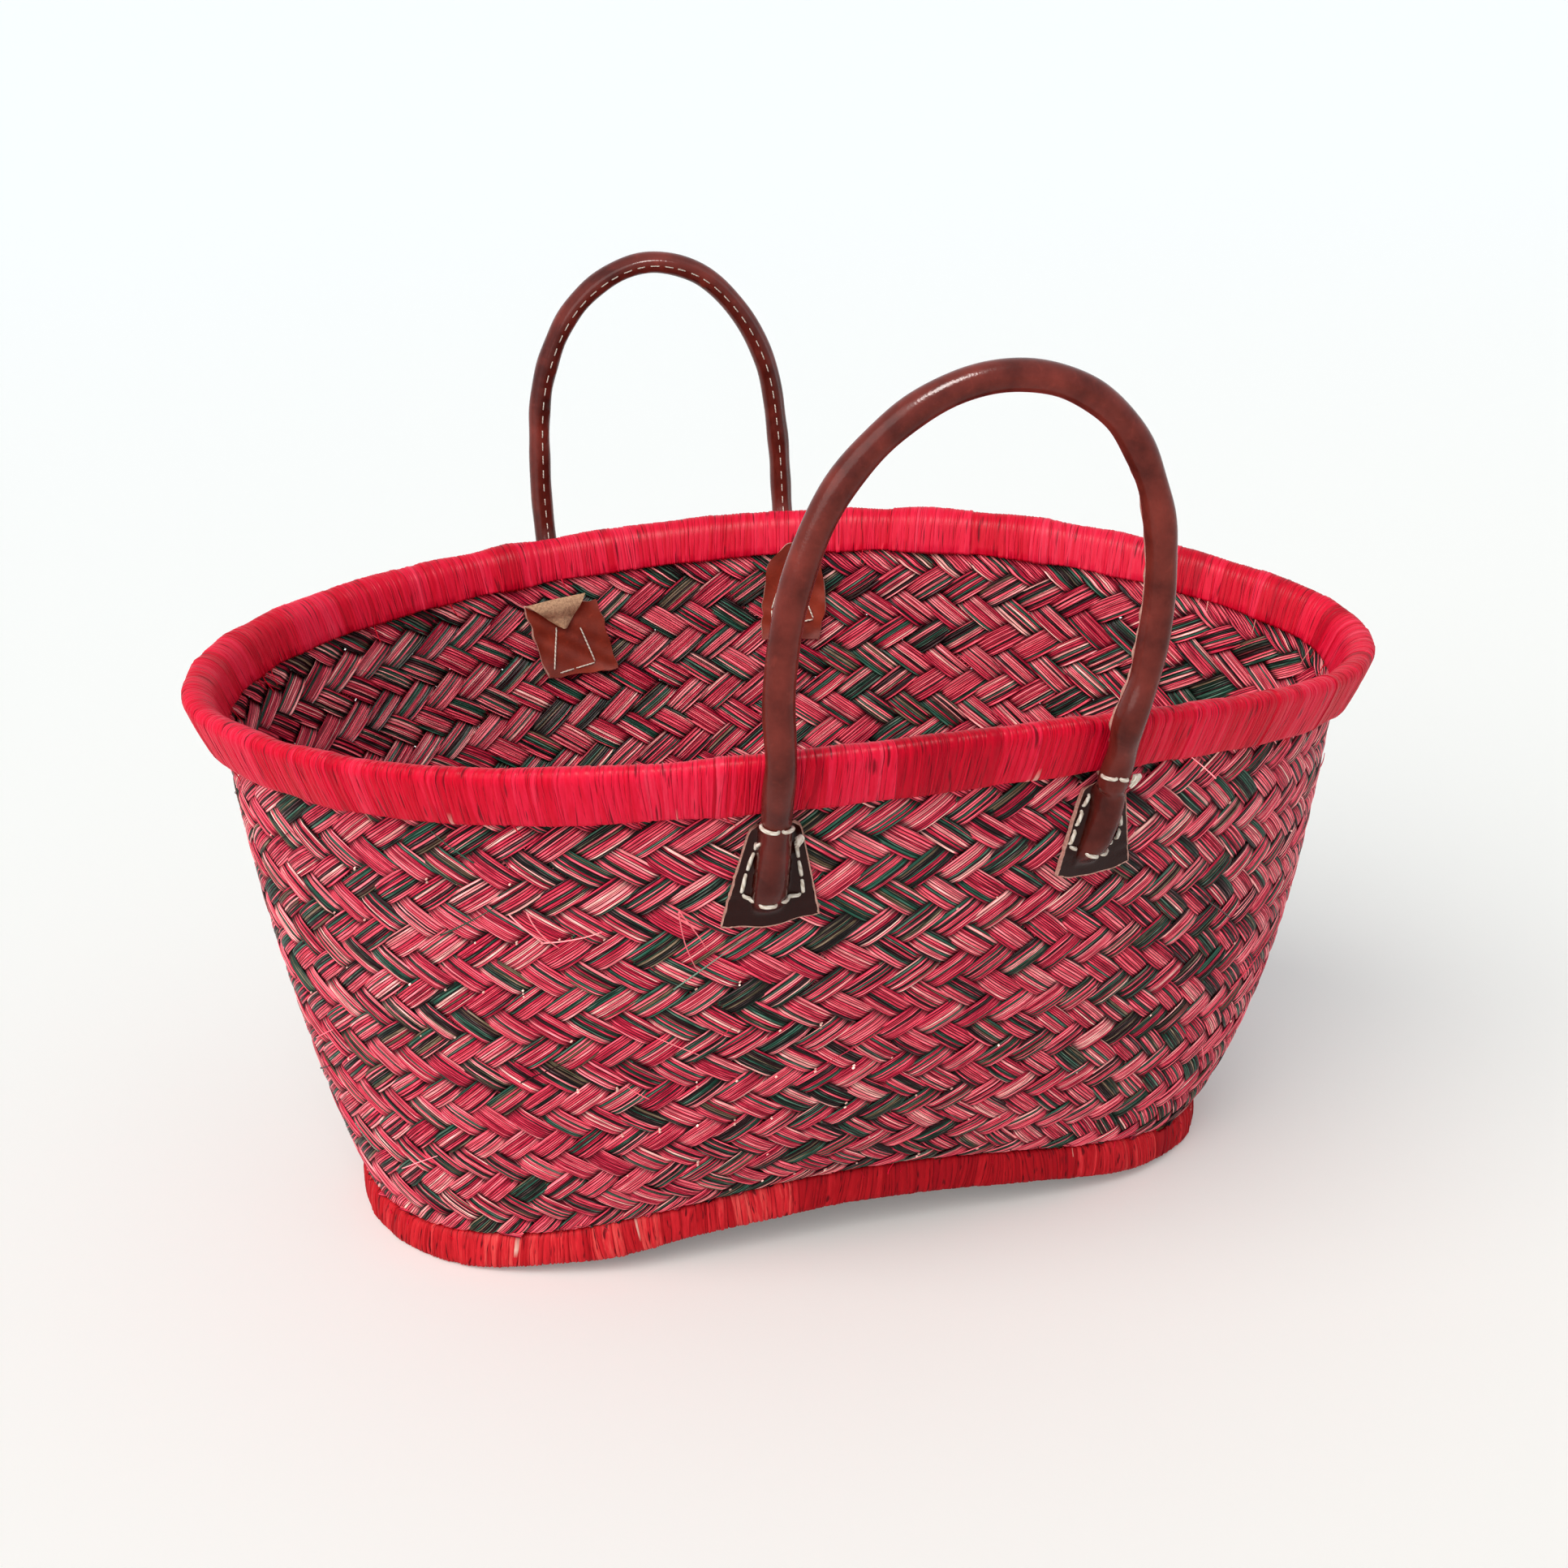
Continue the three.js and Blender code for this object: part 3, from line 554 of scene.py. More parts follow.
def wound_raffia(name, colours, length, gloss):
    """Raffia palm leaf torn into ribbons, dyed and wound on damp.

    Packs of ribbons lie smooth side by side, each pack a little lighter or darker than the next, with short
    hairline splits along them and a soft silky light across them. The splits and the seams between ribbons
    are painted dark, as shade."""
    finish, add = new_finish(name)
    place = add("Attribute", attribute_name="strand").outputs["Vector"]
    across = add("SeparateXYZ", [place])
    dye = add("Attribute", attribute_name="dye").outputs["Vector"]
    tone, bare, _ = add("SeparateXYZ", [dye]).outputs
    # Fibres, about 0.35 mm wide and 12 mm long
    fine = add("VectorMath", [place, (2.6, 0.08, 0.0)], operation="MULTIPLY")
    fibre = add("TexNoise", {"Vector": fine, "Scale": 1.0, "Detail": 4.0, "Roughness": 0.65})
    tone = add("Math", [fibre, 0.55, tone], operation="MULTIPLY_ADD")
    stops = ((0.32, "deep"), (0.55, "main"), (0.74, "bright"), (0.92, "light"))
    dyed = add("ValToRGB", [tone], [(at, colours[shade]) for at, shade in stops])
    # Splits 0.3 mm wide and about 6 mm long, painted dark as shade
    course = add("VectorMath", [place, (1.9, length, 0.0), (7.0, 3.0, 5.0)], operation="MULTIPLY_ADD")
    split_shade = add("TexNoise", {"Vector": course, "Scale": 1.0, "Detail": 1.0, "Roughness": 0.4})
    split_shade = add("MapRange", [split_shade, 0.3, 0.37, 0.85, 0.0])
    # The seam between two ribbons is painted dark as shade, and shows only here and there
    edge = add("Math", [across], operation="FRACT")
    edge = add("Math", [edge, math.pi], operation="MULTIPLY")
    crest = add("Math", [edge], operation="SINE")
    seam = add("MapRange", [crest, 0.0, 0.3, 0.9, 0.0])
    shut = add("MapRange", [fibre, 0.42, 0.56, 1.0, 0.0])
    seam = add("Math", [seam, shut], operation="MULTIPLY")
    seam = add("Math", [seam, split_shade], operation="MAXIMUM")
    dyed = add("Mix", {0: seam, 6: dyed, 7: colours["gap"]}, data_type="RGBA")
    base = add("Mix", {0: bare, 6: dyed, 7: colours["undyed"]}, data_type="RGBA")
    height = add("Math", [seam, -0.8, fibre], operation="MULTIPLY_ADD")
    surface = {"Roughness": gloss, "IOR": 1.47, "Specular IOR Level": 0.09}
    close_finish(add, base, height, 0.5, 0.25, surface)
    return finish


def rolled_leather(name, light, dark, tab, roughness=0.2):
    """Vegetable-tanned goat leather, dyed, oiled and polished by hand.

    It is glossy, with a fine pebbled grain, a slow mottling of the dye and shallow creases."""
    finish, add = new_finish(name)
    coords = add("TexCoord").outputs["Object"]
    wear = add("Attribute", attribute_name="tab").outputs["Fac"]
    # Dye mottling about 16 mm across, in metres here
    mottle = add("TexNoise", {"Vector": coords, "Scale": 62.0, "Detail": 5.0, "Roughness": 0.55})
    base = add("ValToRGB", [mottle], [(0.3, dark), (0.7, light)])
    base = add("Mix", {0: wear, 6: base, 7: tab}, data_type="RGBA")
    # Pebbles of about 0.9 mm, and creases about 4 mm apart
    grain = add("TexVoronoi", {"Vector": coords, "Scale": 1100.0}, feature="F1")
    crease = add("TexNoise", {"Vector": coords, "Scale": 260.0, "Detail": 4.0, "Distortion": 0.8})
    scuff = add("MapRange", [crease, 0.58, 0.8, 1.0, 1.35])
    base = add("VectorMath", {0: base, "Scale": scuff}, operation="SCALE")
    height = add("Math", [crease, 1.6, grain], operation="MULTIPLY_ADD")
    surface = {"Roughness": roughness, "IOR": 1.5, "Specular IOR Level": 0.2}
    close_finish(add, base, height, 0.16, 0.2, surface)
    return finish


def rough_fibre(name, light, dark, scale, roughness=0.85):
    """A dull fibrous surface: the raw edge or back of leather, split cane, or jute cord.

    It has no shine, and its nap shows as short light and dark flecks."""
    finish, add = new_finish(name)
    coords = add("TexCoord").outputs["Object"]
    nap = add("TexNoise", {"Vector": coords, "Scale": scale, "Detail": 6.0, "Roughness": 0.7})
    base = add("ValToRGB", [nap], [(0.3, dark), (0.7, light)])
    close_finish(add, base, nap, 0.6, 0.3, {"Roughness": roughness})
    return finish


def waxed_thread(colour, shade, hole):
    """Thick cotton thread, twisted from three plies and waxed.

    The plies show as slanting ridges about a millimetre apart, with a dull gloss, and the grooves between
    them are painted darker as shade. Where a stitch goes into its hole it is painted dark, as shade."""
    finish, add = new_finish("waxed_cotton_thread")
    place = add("Attribute", attribute_name="ply").outputs["Fac"]
    twist = add("Math", [place, FULL_TURN], operation="MULTIPLY")
    twist = add("Math", [twist], operation="SINE")
    ply = add("MapRange", [twist, -1.0, 1.0, 0.0, 1.0])
    # Painted shade: the grooves between plies take the darker colour
    base = add("ValToRGB", [ply], [(0.1, shade), (0.55, colour)])
    # Painted shade: the thread is painted dark where it goes into its hole
    hole_shade = add("MapRange", [place, -3.0, -1.0, 1.0, 0.0])
    base = add("Mix", {0: hole_shade, 6: base, 7: hole}, data_type="RGBA")
    close_finish(add, base, ply, 0.7, 0.3, {"Roughness": 0.6})
    return finish


FINISHES = {}


def shades(**codes):
    """Named colours from their hex codes."""
    return {name: linear(code) for name, code in codes.items()}


def finish_of(name):
    """The finishes, most of them named for their slot, made once from the colours in the sidebar."""
    if FINISHES:
        return FINISHES[name]
    dyes = bpy.context.scene.basket_colours
    # gap is painted shade: near black in the grooves of the plaiting, dark red in the seams and splits of
    # the raffia
    weave = shades(
        dark_green="14261F", plum="2E0A14", olive="7A664E", light_rose="F07882", undyed="F6C0B4",
        gap="0A0304",
    )
    weave.update(
        black=dyes.black_stem, green=dyes.green_stem, crimson=dyes.crimson_stem, rose=dyes.rose_stem,
    )
    rim = shades(deep="B40222", bright="F01E42", light="F43C58", gap="6E0616")
    rim.update(main=dyes.rim_raffia, undyed=dyes.undyed)
    foot = shades(deep="A00C1C", bright="DC2832", light="F45C58", gap="4A0610")
    foot.update(main=dyes.foot_raffia, undyed=dyes.undyed)
    tab = dyes.tab_leather
    FINISHES.update(
        plaited_fibre=plaited_stems(weave),
        rim_raffia=wound_raffia("dyed_wound_raffia_rim", rim, 0.06, 0.36),
        foot_raffia=wound_raffia("dyed_wound_raffia_foot", foot, 0.12, 0.5),
        handle_leather=rolled_leather("polished_goat_leather", dyes.leather, linear("4A1711"), tab),
        patch_leather=rolled_leather(
            "dyed_goat_leather_patch", linear("9E3A26"), linear("6A2014"), tab, roughness=0.45
        ),
        cut_edge=rough_fibre("cut_leather_edge", linear("D9AC9C"), linear("A5685A"), 900.0),
        suede=rough_fibre("flesh_side_of_leather", linear("DCB088"), linear("94664A"), 900.0, 0.95),
        cane=rough_fibre("split_cane", linear("CDB185"), linear("A88655"), 300.0, 0.6),
        cord=rough_fibre("jute_cord", linear("B79B6C"), linear("8E7347"), 700.0, 0.9),
        # The thread's painted shade between plies and in its holes
        thread=waxed_thread(dyes.thread, linear("CFC0AE"), linear("1A0A08")),
    )
    return FINISHES[name]


# Plaiting


def wall_lattice(strips, rows):
    """A function that places a point p strips round and q crossings up the wall, as a turn and a
    height u, and the length round the wall."""
    degrees, bands = 360, 34
    turns, heights = np.linspace(0, FULL_TURN, degrees + 1), np.linspace(1, 2, 41)
    rise = running_length(on_weave(turns[:, None], heights[None, :]))
    levels = np.linspace(0, 1, bands + 1)
    table = np.array([np.interp(levels, line / line[-1], heights) for line in rise])
    around = running_length(on_weave(turns, EVEN_HEIGHT))

    def place(p, q):
        turn = np.interp((p / strips) % 1, around / around[-1], turns)
        row = turn / FULL_TURN * degrees
        column = np.clip(q / rows, 0, 1) * bands
        i, j = np.minimum(row.astype(int), degrees - 1), np.minimum(column.astype(int), bands - 1)
        a, b = row - i, column - j
        low = table[i, j] * (1 - b) + table[i, j + 1] * b
        high = table[i + 1, j] * (1 - b) + table[i + 1, j + 1] * b
        u = low * (1 - a) + high * a
        # Strips run on a little past both ends, into the wraps of the foot and the rim
        return turn, u + np.minimum(q, 0) * 0.03 + np.maximum(q - rows, 0) * 0.6

    return place, around[-1]


def over_under(count):
    """1 over, -1 under, in a two-over two-under twill, at a count of crossings along a strip."""
    flatness = 2.1
    return np.tanh(flatness * np.cos(math.pi * (count - 0.5) / 2)) / math.tanh(flatness)


def laid_stems(rng, strips, stems, q):
    """Three lines to a stem, two edges and the crest, as shares of the strip's width at each q."""
    widths = rng.uniform(0.65, 1.4, (strips, stems))
    edges = np.concatenate([np.zeros((strips, 1)), np.cumsum(widths, 1)], 1)
    edges = edges / edges[:, -1:] - 0.5
    phase = rng.uniform(0, FULL_TURN, (2, strips, stems + 1, 1))
    wander = 0.2 * np.sin(0.8 * q + phase[0]) + 0.14 * np.sin(2.1 * q + phase[1])
    edges = edges[:, :, None] + wander / stems
    left, right = edges[:, :-1], edges[:, 1:]
    return np.stack([left, (left + right) / 2, right], -1)


def stem_ridges(rng, lines, over):
    """How far each line of a strip stands out: a ridge a stem, with the strip's edges drawn in."""
    level = rng.normal(0, 0.05, (*lines.shape[:2], 1))
    crest = np.stack([0 * level, 0.3 + level, 0 * level], -1)
    return crest - 0.3 * np.minimum(2 * np.abs(lines), 1.1) ** 8 + 0.08 * over * (1 - (2 * lines) ** 2)


def dye_lots(rng, strips, stems, floats):
    """The dye of each stem on each float, from 0 for black over green and crimson to 1 for undyed.

    A stem is six floats long. Its neighbours come from one bundle for four floats, and most
    bundles are red, a few nearly black, and some mixed."""
    floats = floats - floats.min()
    strip, stem = np.arange(strips)[:, None, None], np.arange(stems)[None, :, None]
    lot = (floats + rng.integers(0, 6, (strips, stems, 1))) // 6
    bundle = (floats + rng.integers(0, 4, (strips, 1, 1))) // 4
    kind = rng.choice(3, size=(strips, bundle.max() + 1), p=BUNDLE_KINDS)[strip, bundle]
    warmth = rng.uniform(0.47, 0.65, (strips, bundle.max() + 1))[strip, bundle]
    pick, tint = rng.uniform(size=(2, strips, stems, lot.max() + 1))[:, strip, stem, lot]
    reds = np.clip(warmth + 0.4 * (tint - 0.48), 0.44, 0.8)
    tone = np.where(pick > NOT_PALE_STEMS[kind], 0.76 + 0.1 * tint, reds)
    return np.where(pick < DARK_STEMS[kind], DARK_TONES[kind] * tint, tone)


def stem_layers(rng, crossing, over, along, label):
    """What the finish reads at each point: its place across and along its stem and the stem's own
    number, and then its dye and whether the strip is over or under."""
    strips, stems = over.shape[:2]
    floats = np.floor((crossing[..., 1] + 0.5) / 2).astype(int)
    tone = dye_lots(rng, strips, stems, floats)[..., None]
    stem = np.stack(np.broadcast_arrays(np.array([0, 0.5, 1.0]), along, label, over)[:3], -1)
    return {"stem": stem, "dye": np.stack(np.broadcast_arrays(tone, over, 0.0), -1)}


def plait_wall(sizes):
    """The wall's rising and falling strips, each in a front and a back piece.

    The labels of stems are far apart, so that no two strips have the same streaks."""
    strips, rows, stems = sizes.strips_round, sizes.crossings_up, sizes.stems_in_strip
    lift = 500 * sizes.weave_relief
    place, total = wall_lattice(strips, rows)
    rng = np.random.default_rng(SEED)
    along = np.arange(-0.5, rows + 1.5, 1 / WALL_STEPS)[:, None]
    number = np.arange(strips)[:, None, None, None]
    mm_per_crossing = 1.15 * total / strips
    for way, sign, first_label in (("rising", 1, 0), ("falling", -1, 2000)):
        w = laid_stems(rng, strips, stems, along[:, 0])
        sway = rng.uniform(0, FULL_TURN, (2, strips, 1, 1, 1))
        centre = 0.035 * np.sin(0.9 * along + sway[0]) + 0.03 * np.sin(2.3 * along + sway[1])
        crossing = 2 * along - sign * (WIDTH_UP - WIDTH_ROUND) * w
        over = sign * over_under(crossing)
        across = w * (1.07 - 0.08 * (1 - over**2)) + centre
        turn, u = place(number + sign * along + WIDTH_ROUND * across, along - sign * WIDTH_UP * across)
        wobble = 0.1 * np.sin(1.7 * along + 3 * sway[0])
        points = off_weave(turn, u, -WALL_THICKNESS / 2 + lift * over + stem_ridges(rng, w, over) + wobble)
        label = number * stems + np.arange(stems)[:, None, None] + first_label
        layers = stem_layers(rng, crossing, over, along * mm_per_crossing, label)
        middle = strips // 2
        for side, part in (("back", slice(0, middle)), ("front", slice(middle, strips))):
            make(
                f"{way}_strips_{side}", points[part], grid_faces(len(along), 3, copies=middle * stems),
                "plaited_fibre", layers={key: values[part] for key, values in layers.items()},
                stands_for=("woven_body",),
            )


def plait_floor(sizes):
    """The floor's strips cross at right angles, at 45 degrees to its length.

    They show from far off only, so they are drawn in coarser steps than the wall's."""
    stems, lift, pitch = sizes.stems_in_strip, 500 * sizes.weave_relief, FLOOR_PITCH
    border = on_weave(np.linspace(0, FULL_TURN, 721), 0.99)[:, :2]
    rng = np.random.default_rng(SEED + 3)
    for way, sign, first_label in (("rising", 1, 9000), ("falling", -1, 15000)):
        strands = Gathered()
        slant, side = np.array([1, sign]) / math.sqrt(2), np.array([1, -sign]) / math.sqrt(2)
        along, across = border @ slant / pitch, border @ side / pitch
        for number in range(math.ceil(across.min()), math.floor(across.max()) + 1):
            crossed = along[:-1][(across[:-1] - number) * (across[1:] - number) < 0]
            if len(crossed) < 2:
                continue
            a = np.arange(crossed.min(), crossed.max(), 1 / FLOOR_STEPS)[:, None]
            if len(a) < 3:
                continue
            w = laid_stems(rng, 1, stems, a[:, 0])
            crossing = sign * (a - number) + 0 * w
            over = sign * over_under(crossing)
            flat = a[..., None] * pitch * slant + (number + w)[..., None] * pitch * side
            z = FOOT_ARCH * middle_share(flat[..., 0]) + FOOT_HEIGHT + CLEARANCE + WALL_THICKNESS / 2
            z = z - lift * over + stem_ridges(rng, w, over)
            label = np.arange(stems)[:, None, None] + number * 20.0 + first_label
            points, faces = np.concatenate([flat, z[..., None]], -1), grid_faces(len(a), 3, copies=stems)
            strands.add(points, faces, **stem_layers(rng, crossing, over, a * pitch, label))
        strands.make(f"{way}_strips_floor", "plaited_fibre", stands_for=("woven_body",))


# Raffia


def wind(
    name, place, profile, widths, seed, stands_for,
    bare_turns=(), sway=1.0, bulge=0.25, lowest=None, fade=0.0,
):
    """Ribbons of raffia wound round a profile that is carried round the basket.

    The widths are the usual and the widest one. Each bare turn has its degrees and the first and last mm of
    the stretch without dye. A fade paints the ribbons lighter round the front left end and darker round the
    rest, as painted light and shade."""
    rng = np.random.default_rng(seed)
    profile = np.asarray(profile, float)
    down = running_length(profile)
    along = unit(np.gradient(profile, axis=0))
    normal = np.stack([along[:, 1], -along[:, 0]], -1)
    turns = np.linspace(0, FULL_TURN, 4 * 360 + 1)
    around = running_length(place(turns, -1.0, profile[len(profile) // 2][1]))
    total = around[-1]
    usual, widest = widths
    width = rng.lognormal(math.log(usual), 0.42, int(2.2 * total / usual))
    width = np.clip(width, 0.4 * usual, widest)
    width = width[np.cumsum(width) < total]
    width *= total / width.sum()
    count = len(width)
    edge = np.concatenate([[0], np.cumsum(width)])[:-1]
    narrow = np.minimum(width, np.roll(width, 1))
    phase, pace = rng.uniform(0, FULL_TURN, count), rng.uniform(0.03, 0.16, count)
    left = edge[:, None] + 0.38 * narrow[:, None] * np.sin(phase[:, None] + pace[:, None] * down)
    right = np.roll(left, -1, axis=0)
    right[-1] += total
    # From here on the axes are the ribbons, four lines along each ribbon, and the profile
    shares = np.array([0.0, 0.22, 0.5, 0.8])[:, None]
    s = left[:, None] + (right - left)[:, None] * shares
    slant = ripple(rng, (3, 18))(s / total * FULL_TURN) * 2.2 * sway
    slant += ripple(rng, (40, 110))(s / total * FULL_TURN) * 0.35 * sway
    s = s + slant * (down / down[-1] - 0.5)
    turn = np.interp((s / total) % 1, around / total, turns)
    # A pack of about nine ribbons is wound at once, from one dye lot
    pack = np.cumsum(rng.uniform(size=count) < 0.11)
    level = 0.15 * rng.normal(size=pack[-1] + 1)[pack][:, None, None] + 0.06 * rng.normal(size=(count, 1, 1))
    tip = rng.uniform(-0.6, 0.6, (count, 1, 1))
    creased = np.where(rng.uniform(size=(count, 1, 1)) < 0.4, -0.35, 0.7)
    shape = np.array([-1.1, 0.35, 0, 0.3])[:, None] + creased * (shares == 0.5)
    raised = level + bulge * shape + bulge * tip * (shares - 0.5)
    raised = raised + 0.3 * ripple(rng, (8, 40))(s / total * FULL_TURN)
    ends = np.minimum(down, down[-1] - down)
    ragged = rng.normal(0, 0.7, (count, 1, 1)) * sway * smoothstep(1 - ends / 4)
    base = profile + normal * raised[..., None]
    base = base + along * (ragged * np.where(down < down[-1] / 2, 1, -1))[..., None]
    points = place(turn, base[..., 0], base[..., 1])
    if lowest is not None:
        points[..., 2] = np.maximum(points[..., 2], lowest)
    # Here and there the dye missed a short stretch of a ribbon, widest at the outer lower edge
    bare = np.zeros(s.shape)
    for degrees, first, last in bare_turns:
        nearest = np.argmin(np.abs(turn[:, 0, len(down) // 3] - math.radians(degrees)))
        bare[nearest, 1:] = np.interp(down, [first - 1, first, last], [0, 1, 0], left=0, right=0)
    tone = 0.33 + 0.09 * rng.normal(size=pack[-1] + 1)[pack] + 0.055 * rng.normal(size=count)
    # Painted light and shade: the tone rises round the front left end, where the window light falls, and
    # drops round the rest
    tone += fade * (2 * (0.5 + 0.5 * np.cos(turn[:, 0, 0] - math.radians(220))) ** 6 - 1)
    number = np.arange(count)[:, None, None] + shares * 0.999
    strand = np.stack(np.broadcast_arrays(number, down + 11.0 * pack[:, None, None], 0.0), -1)
    dye = np.stack(np.broadcast_arrays(tone[:, None, None], bare, 0.0), -1)

    def closed(layer, copied):
        """Rows down the profile, which end with a copy of their first or last column."""
        grid = layer.reshape(-1, len(down), 3).transpose(1, 0, 2)
        return np.concatenate([grid, grid[:, [copied]]], axis=1)

    # The last column is a copy of the first, but keeps the last ribbon's numbers
    points, strand, dye = closed(points, 0), closed(strand, -1), closed(dye, -1)
    strand[:, -1, 0] = count - 0.001
    faces = grid_faces(len(down), points.shape[1])
    make(name, points, faces, name, layers={"strand": strand, "dye": dye}, stands_for=(stands_for,))


def wind_rim(sizes):
    """The rim's raffia: down over its rounded top from the outer hoop to the inner one."""
    half, outer, inner = BAND_HALF, -BAND_OUTSIDE, -BAND_INSIDE
    arc = [(half * math.cos(a), half * math.sin(a) - half) for a in np.linspace(0, math.pi, 11)]
    profile = [
        (0.2, outer + 0.6), (half - 2.2, outer), (half - 0.5, outer + 0.5), (half, outer + 1.8),
        (half + 0.2, outer + 6), (half + 0.3, outer + 11), *arc, (-half - 0.2, -9.5), (-half - 0.1, -13),
        (-half, inner + 1), (-half + 0.7, inner), (-half + 2.2, inner + 0.3),
    ]
    wind(
        "rim_raffia", on_rim, profile, (1000 * sizes.rim_ribbon, 3.2), SEED + 1, "rim_wrap",
        bare_turns=((224.5, 4, 9), (246.3, 4, 8), (277.6, 4, 10), (277.0, 4, 7)), bulge=0.13,
    )


def wind_foot(sizes):
    """The foot's raffia, right round its hoop."""
    top, depth, lip, rounding = FOOT_HEIGHT + FOOT_BEDDING, FOOT_THICKNESS, FOOT_LIP, FOOT_ROUND
    profile = [
        (-4.7, top - 0.5), (-depth + lip, top - 0.3), (-depth + 0.6, top - 1.2), (-depth, top - 4),
        (-depth, 7), (-depth, rounding), (-depth + 0.8, 0.8), (-depth + rounding, 0), (-5, 0),
        (-rounding, 0), (-0.8, 0.8), (0, rounding), (0.3, 5.5), (0.3, 9), (0, top - 3),
        (-0.7, top - 0.9), (-lip, top - 0.1), (-5.2, top - 0.2),
    ]
    wind(
        "foot_raffia", on_foot, profile, (1000 * sizes.foot_ribbon, 3.6), SEED + 2, "foot_wrap",
        bare_turns=((219, 34, 44), (240, 36, 45)), sway=3.0, bulge=0.3, lowest=0.0, fade=0.17,
    )


# Leather


def handle_frame(handle):
    """The line through a handle's ends: its middle, the way along it, away from the basket, and up."""
    left, right = (on_rim(math.radians(handle[side]["hinge"]), HINGE_OFFSET, 0.0) for side in SIDES)
    span = np.linalg.norm(right - left)
    along = (right - left) / span
    facing = np.sign(left[1] + right[1])
    up = unit(np.array([0, 0, 1.0]) - along * along[2])
    return (left + right) / 2, span, along, np.cross(up, along * facing), up


def tab_top(share):
    """How far the leather over the cord's end stands off the wall, at a share of the tab."""
    shares = [0, 0.17, 0.34, 0.6, 0.7, 0.77, 0.83, 0.89]
    return np.interp(share, shares, [15.6, 14.0, 12.5, 10.6, 8.8, 6.4, 3.6, 1.9])


def roll_shift(end, share):
    """How far the rolled part lies to one side of the tab's middle, at a share of the tab."""
    beside, skew = end["lean"][0], end["skew"]
    shifts = [beside, 0.5 * beside + 0.07 * skew, 0.34 * skew, skew]
    return np.interp(share, [ROLL_TOP, 0.17, 0.34, 1], shifts)


def tab_section(share, end, columns):
    """A tab's cross-section as s and n: the bump over the cord with a flat wing on each side."""
    bump = max(tab_top(share) - TAB_FACE, 0)
    half = np.interp(share, [0, 0.3, 0.6, 0.75, 0.88], [5.6, 5.8, 6.2, 6.0, 5.0])
    flare = np.array(end.get("flare", (TAB_FLARE, TAB_FLARE)))
    width = TAB_TOP_WIDTH / 2 + (TAB_SPREAD - TAB_TOP_WIDTH / 2) * share**flare * end["wide"]
    angle = np.linspace(-math.pi / 2, math.pi / 2, 61)
    skew = roll_shift(end, share)
    over = half * np.sin(angle) + skew
    wings = np.linspace(-width[0], over[0], 8)[:-1], np.linspace(over[-1], width[1], 8)[1:]
    s = np.concatenate([wings[0], over, wings[1]])
    n = np.pad(bump * np.cos(angle) ** 0.9, 7)
    # The leather eases down into the left wing and folds sharply into the right one
    ease = np.where(s < skew, 1 + 1.6 * share, 0.9)
    fillet = 1.1 * min(bump / 8, 1) * np.exp(-(((np.abs(s - skew) - half) / ease) ** 2))
    line = np.stack([s, TAB_FACE + n + fillet], -1)
    length = running_length(line)
    # A column close to each side keeps the raw edge's width
    even = np.concatenate([[0], np.linspace(0.5, length[-1] - 0.5, columns - 2), [length[-1]]])
    return interpolate(even, length, line)


def sewn_end(end, columns):
    """Rows of a tab from its lower edge up: their t, points off the wall and share of the tab's darker
    colour.
    """
    turn, length = math.radians(end["tab"]), TAB_LENGTH * end["long"]
    rng = np.random.default_rng(SEED + round(end["tab"]))
    nick, fuzz = ripple(rng, (3, 11)), ripple(rng, (60, 140))
    rows = []
    for share in (1, 1 - 0.5 / length, *np.linspace(0.975, 0.02, 40)):
        across, off = tab_section(share, end, columns).T
        s = across / TAB_SPREAD
        rim = np.maximum(0, (np.abs(s) * TAB_SPREAD - 8) / 6) ** 4 if share < 1 else np.ones(columns)
        frayed = 0.16 * fuzz(share * 3 + s) * np.minimum(rim, 1)
        t = share * (0.99 * length - 2.6 * s**2 - s) + 0.4 * nick(s) * share**6
        edge = np.clip((np.abs(across) - 7) / 9, 0, 1) * share
        n = off + 0.9 * edge * (1 + nick(3 + share * 5)) * 0.5
        # The tab takes its darker colour where the leather lies flat on the wall, and less of it up on the
        # roll
        dark = 1 - 0.66 * smoothstep((off - 2.6) / 5) * (1 - 0.3 * share)
        rows.append((share * length, off_wall(turn, across + frayed * np.sign(s), t + frayed, n), dark))
    return (np.array(part) for part in zip(*rows))


def end_knots(end, along):
    """The cord's line from the foot of a tab to the band, and how far down the tab it starts and goes."""
    turn, length = math.radians(end["tab"]), TAB_LENGTH * end["long"]
    knots = [
        off_wall(turn, roll_shift(end, share), length * share, TAB_FACE + HANDLE_RADIUS * height)
        for share, height in ROLLED_END
    ]
    # The thread pulls the roll in against the band and a little to one side
    knots.append(off_wall(turn, end["lean"][0], length * ROLL_TOP, HINGE_OFFSET - 2.1))
    reach = running_length(np.array(knots))
    halfway = math.radians((end["hinge"] + end["tab"]) / 2)
    knots.append(on_rim(halfway, HINGE_OFFSET - 0.8, -BAND_OUTSIDE * 0.6) + along * end["lean"][1])
    return knots, reach, [length * share for share, _ in ROLLED_END] + [length * ROLL_TOP]


def rolled_section(columns):
    """The rolled leather's cross-section: angles from the side away from the basket, and radii.

    One edge laps over the other on the side that faces the basket."""
    under_edge, over_edge = 2.9, 3.72
    share = np.linspace(-1, 1, columns)
    angle = np.where(share < 0, under_edge, over_edge) * share
    tucked = 0.9 * smoothstep((-angle - 2.35) / 0.5)
    lapped = 1.2 * smoothstep((angle - 2.45) / 0.45)
    return angle[:, None], HANDLE_RADIUS - tucked + lapped


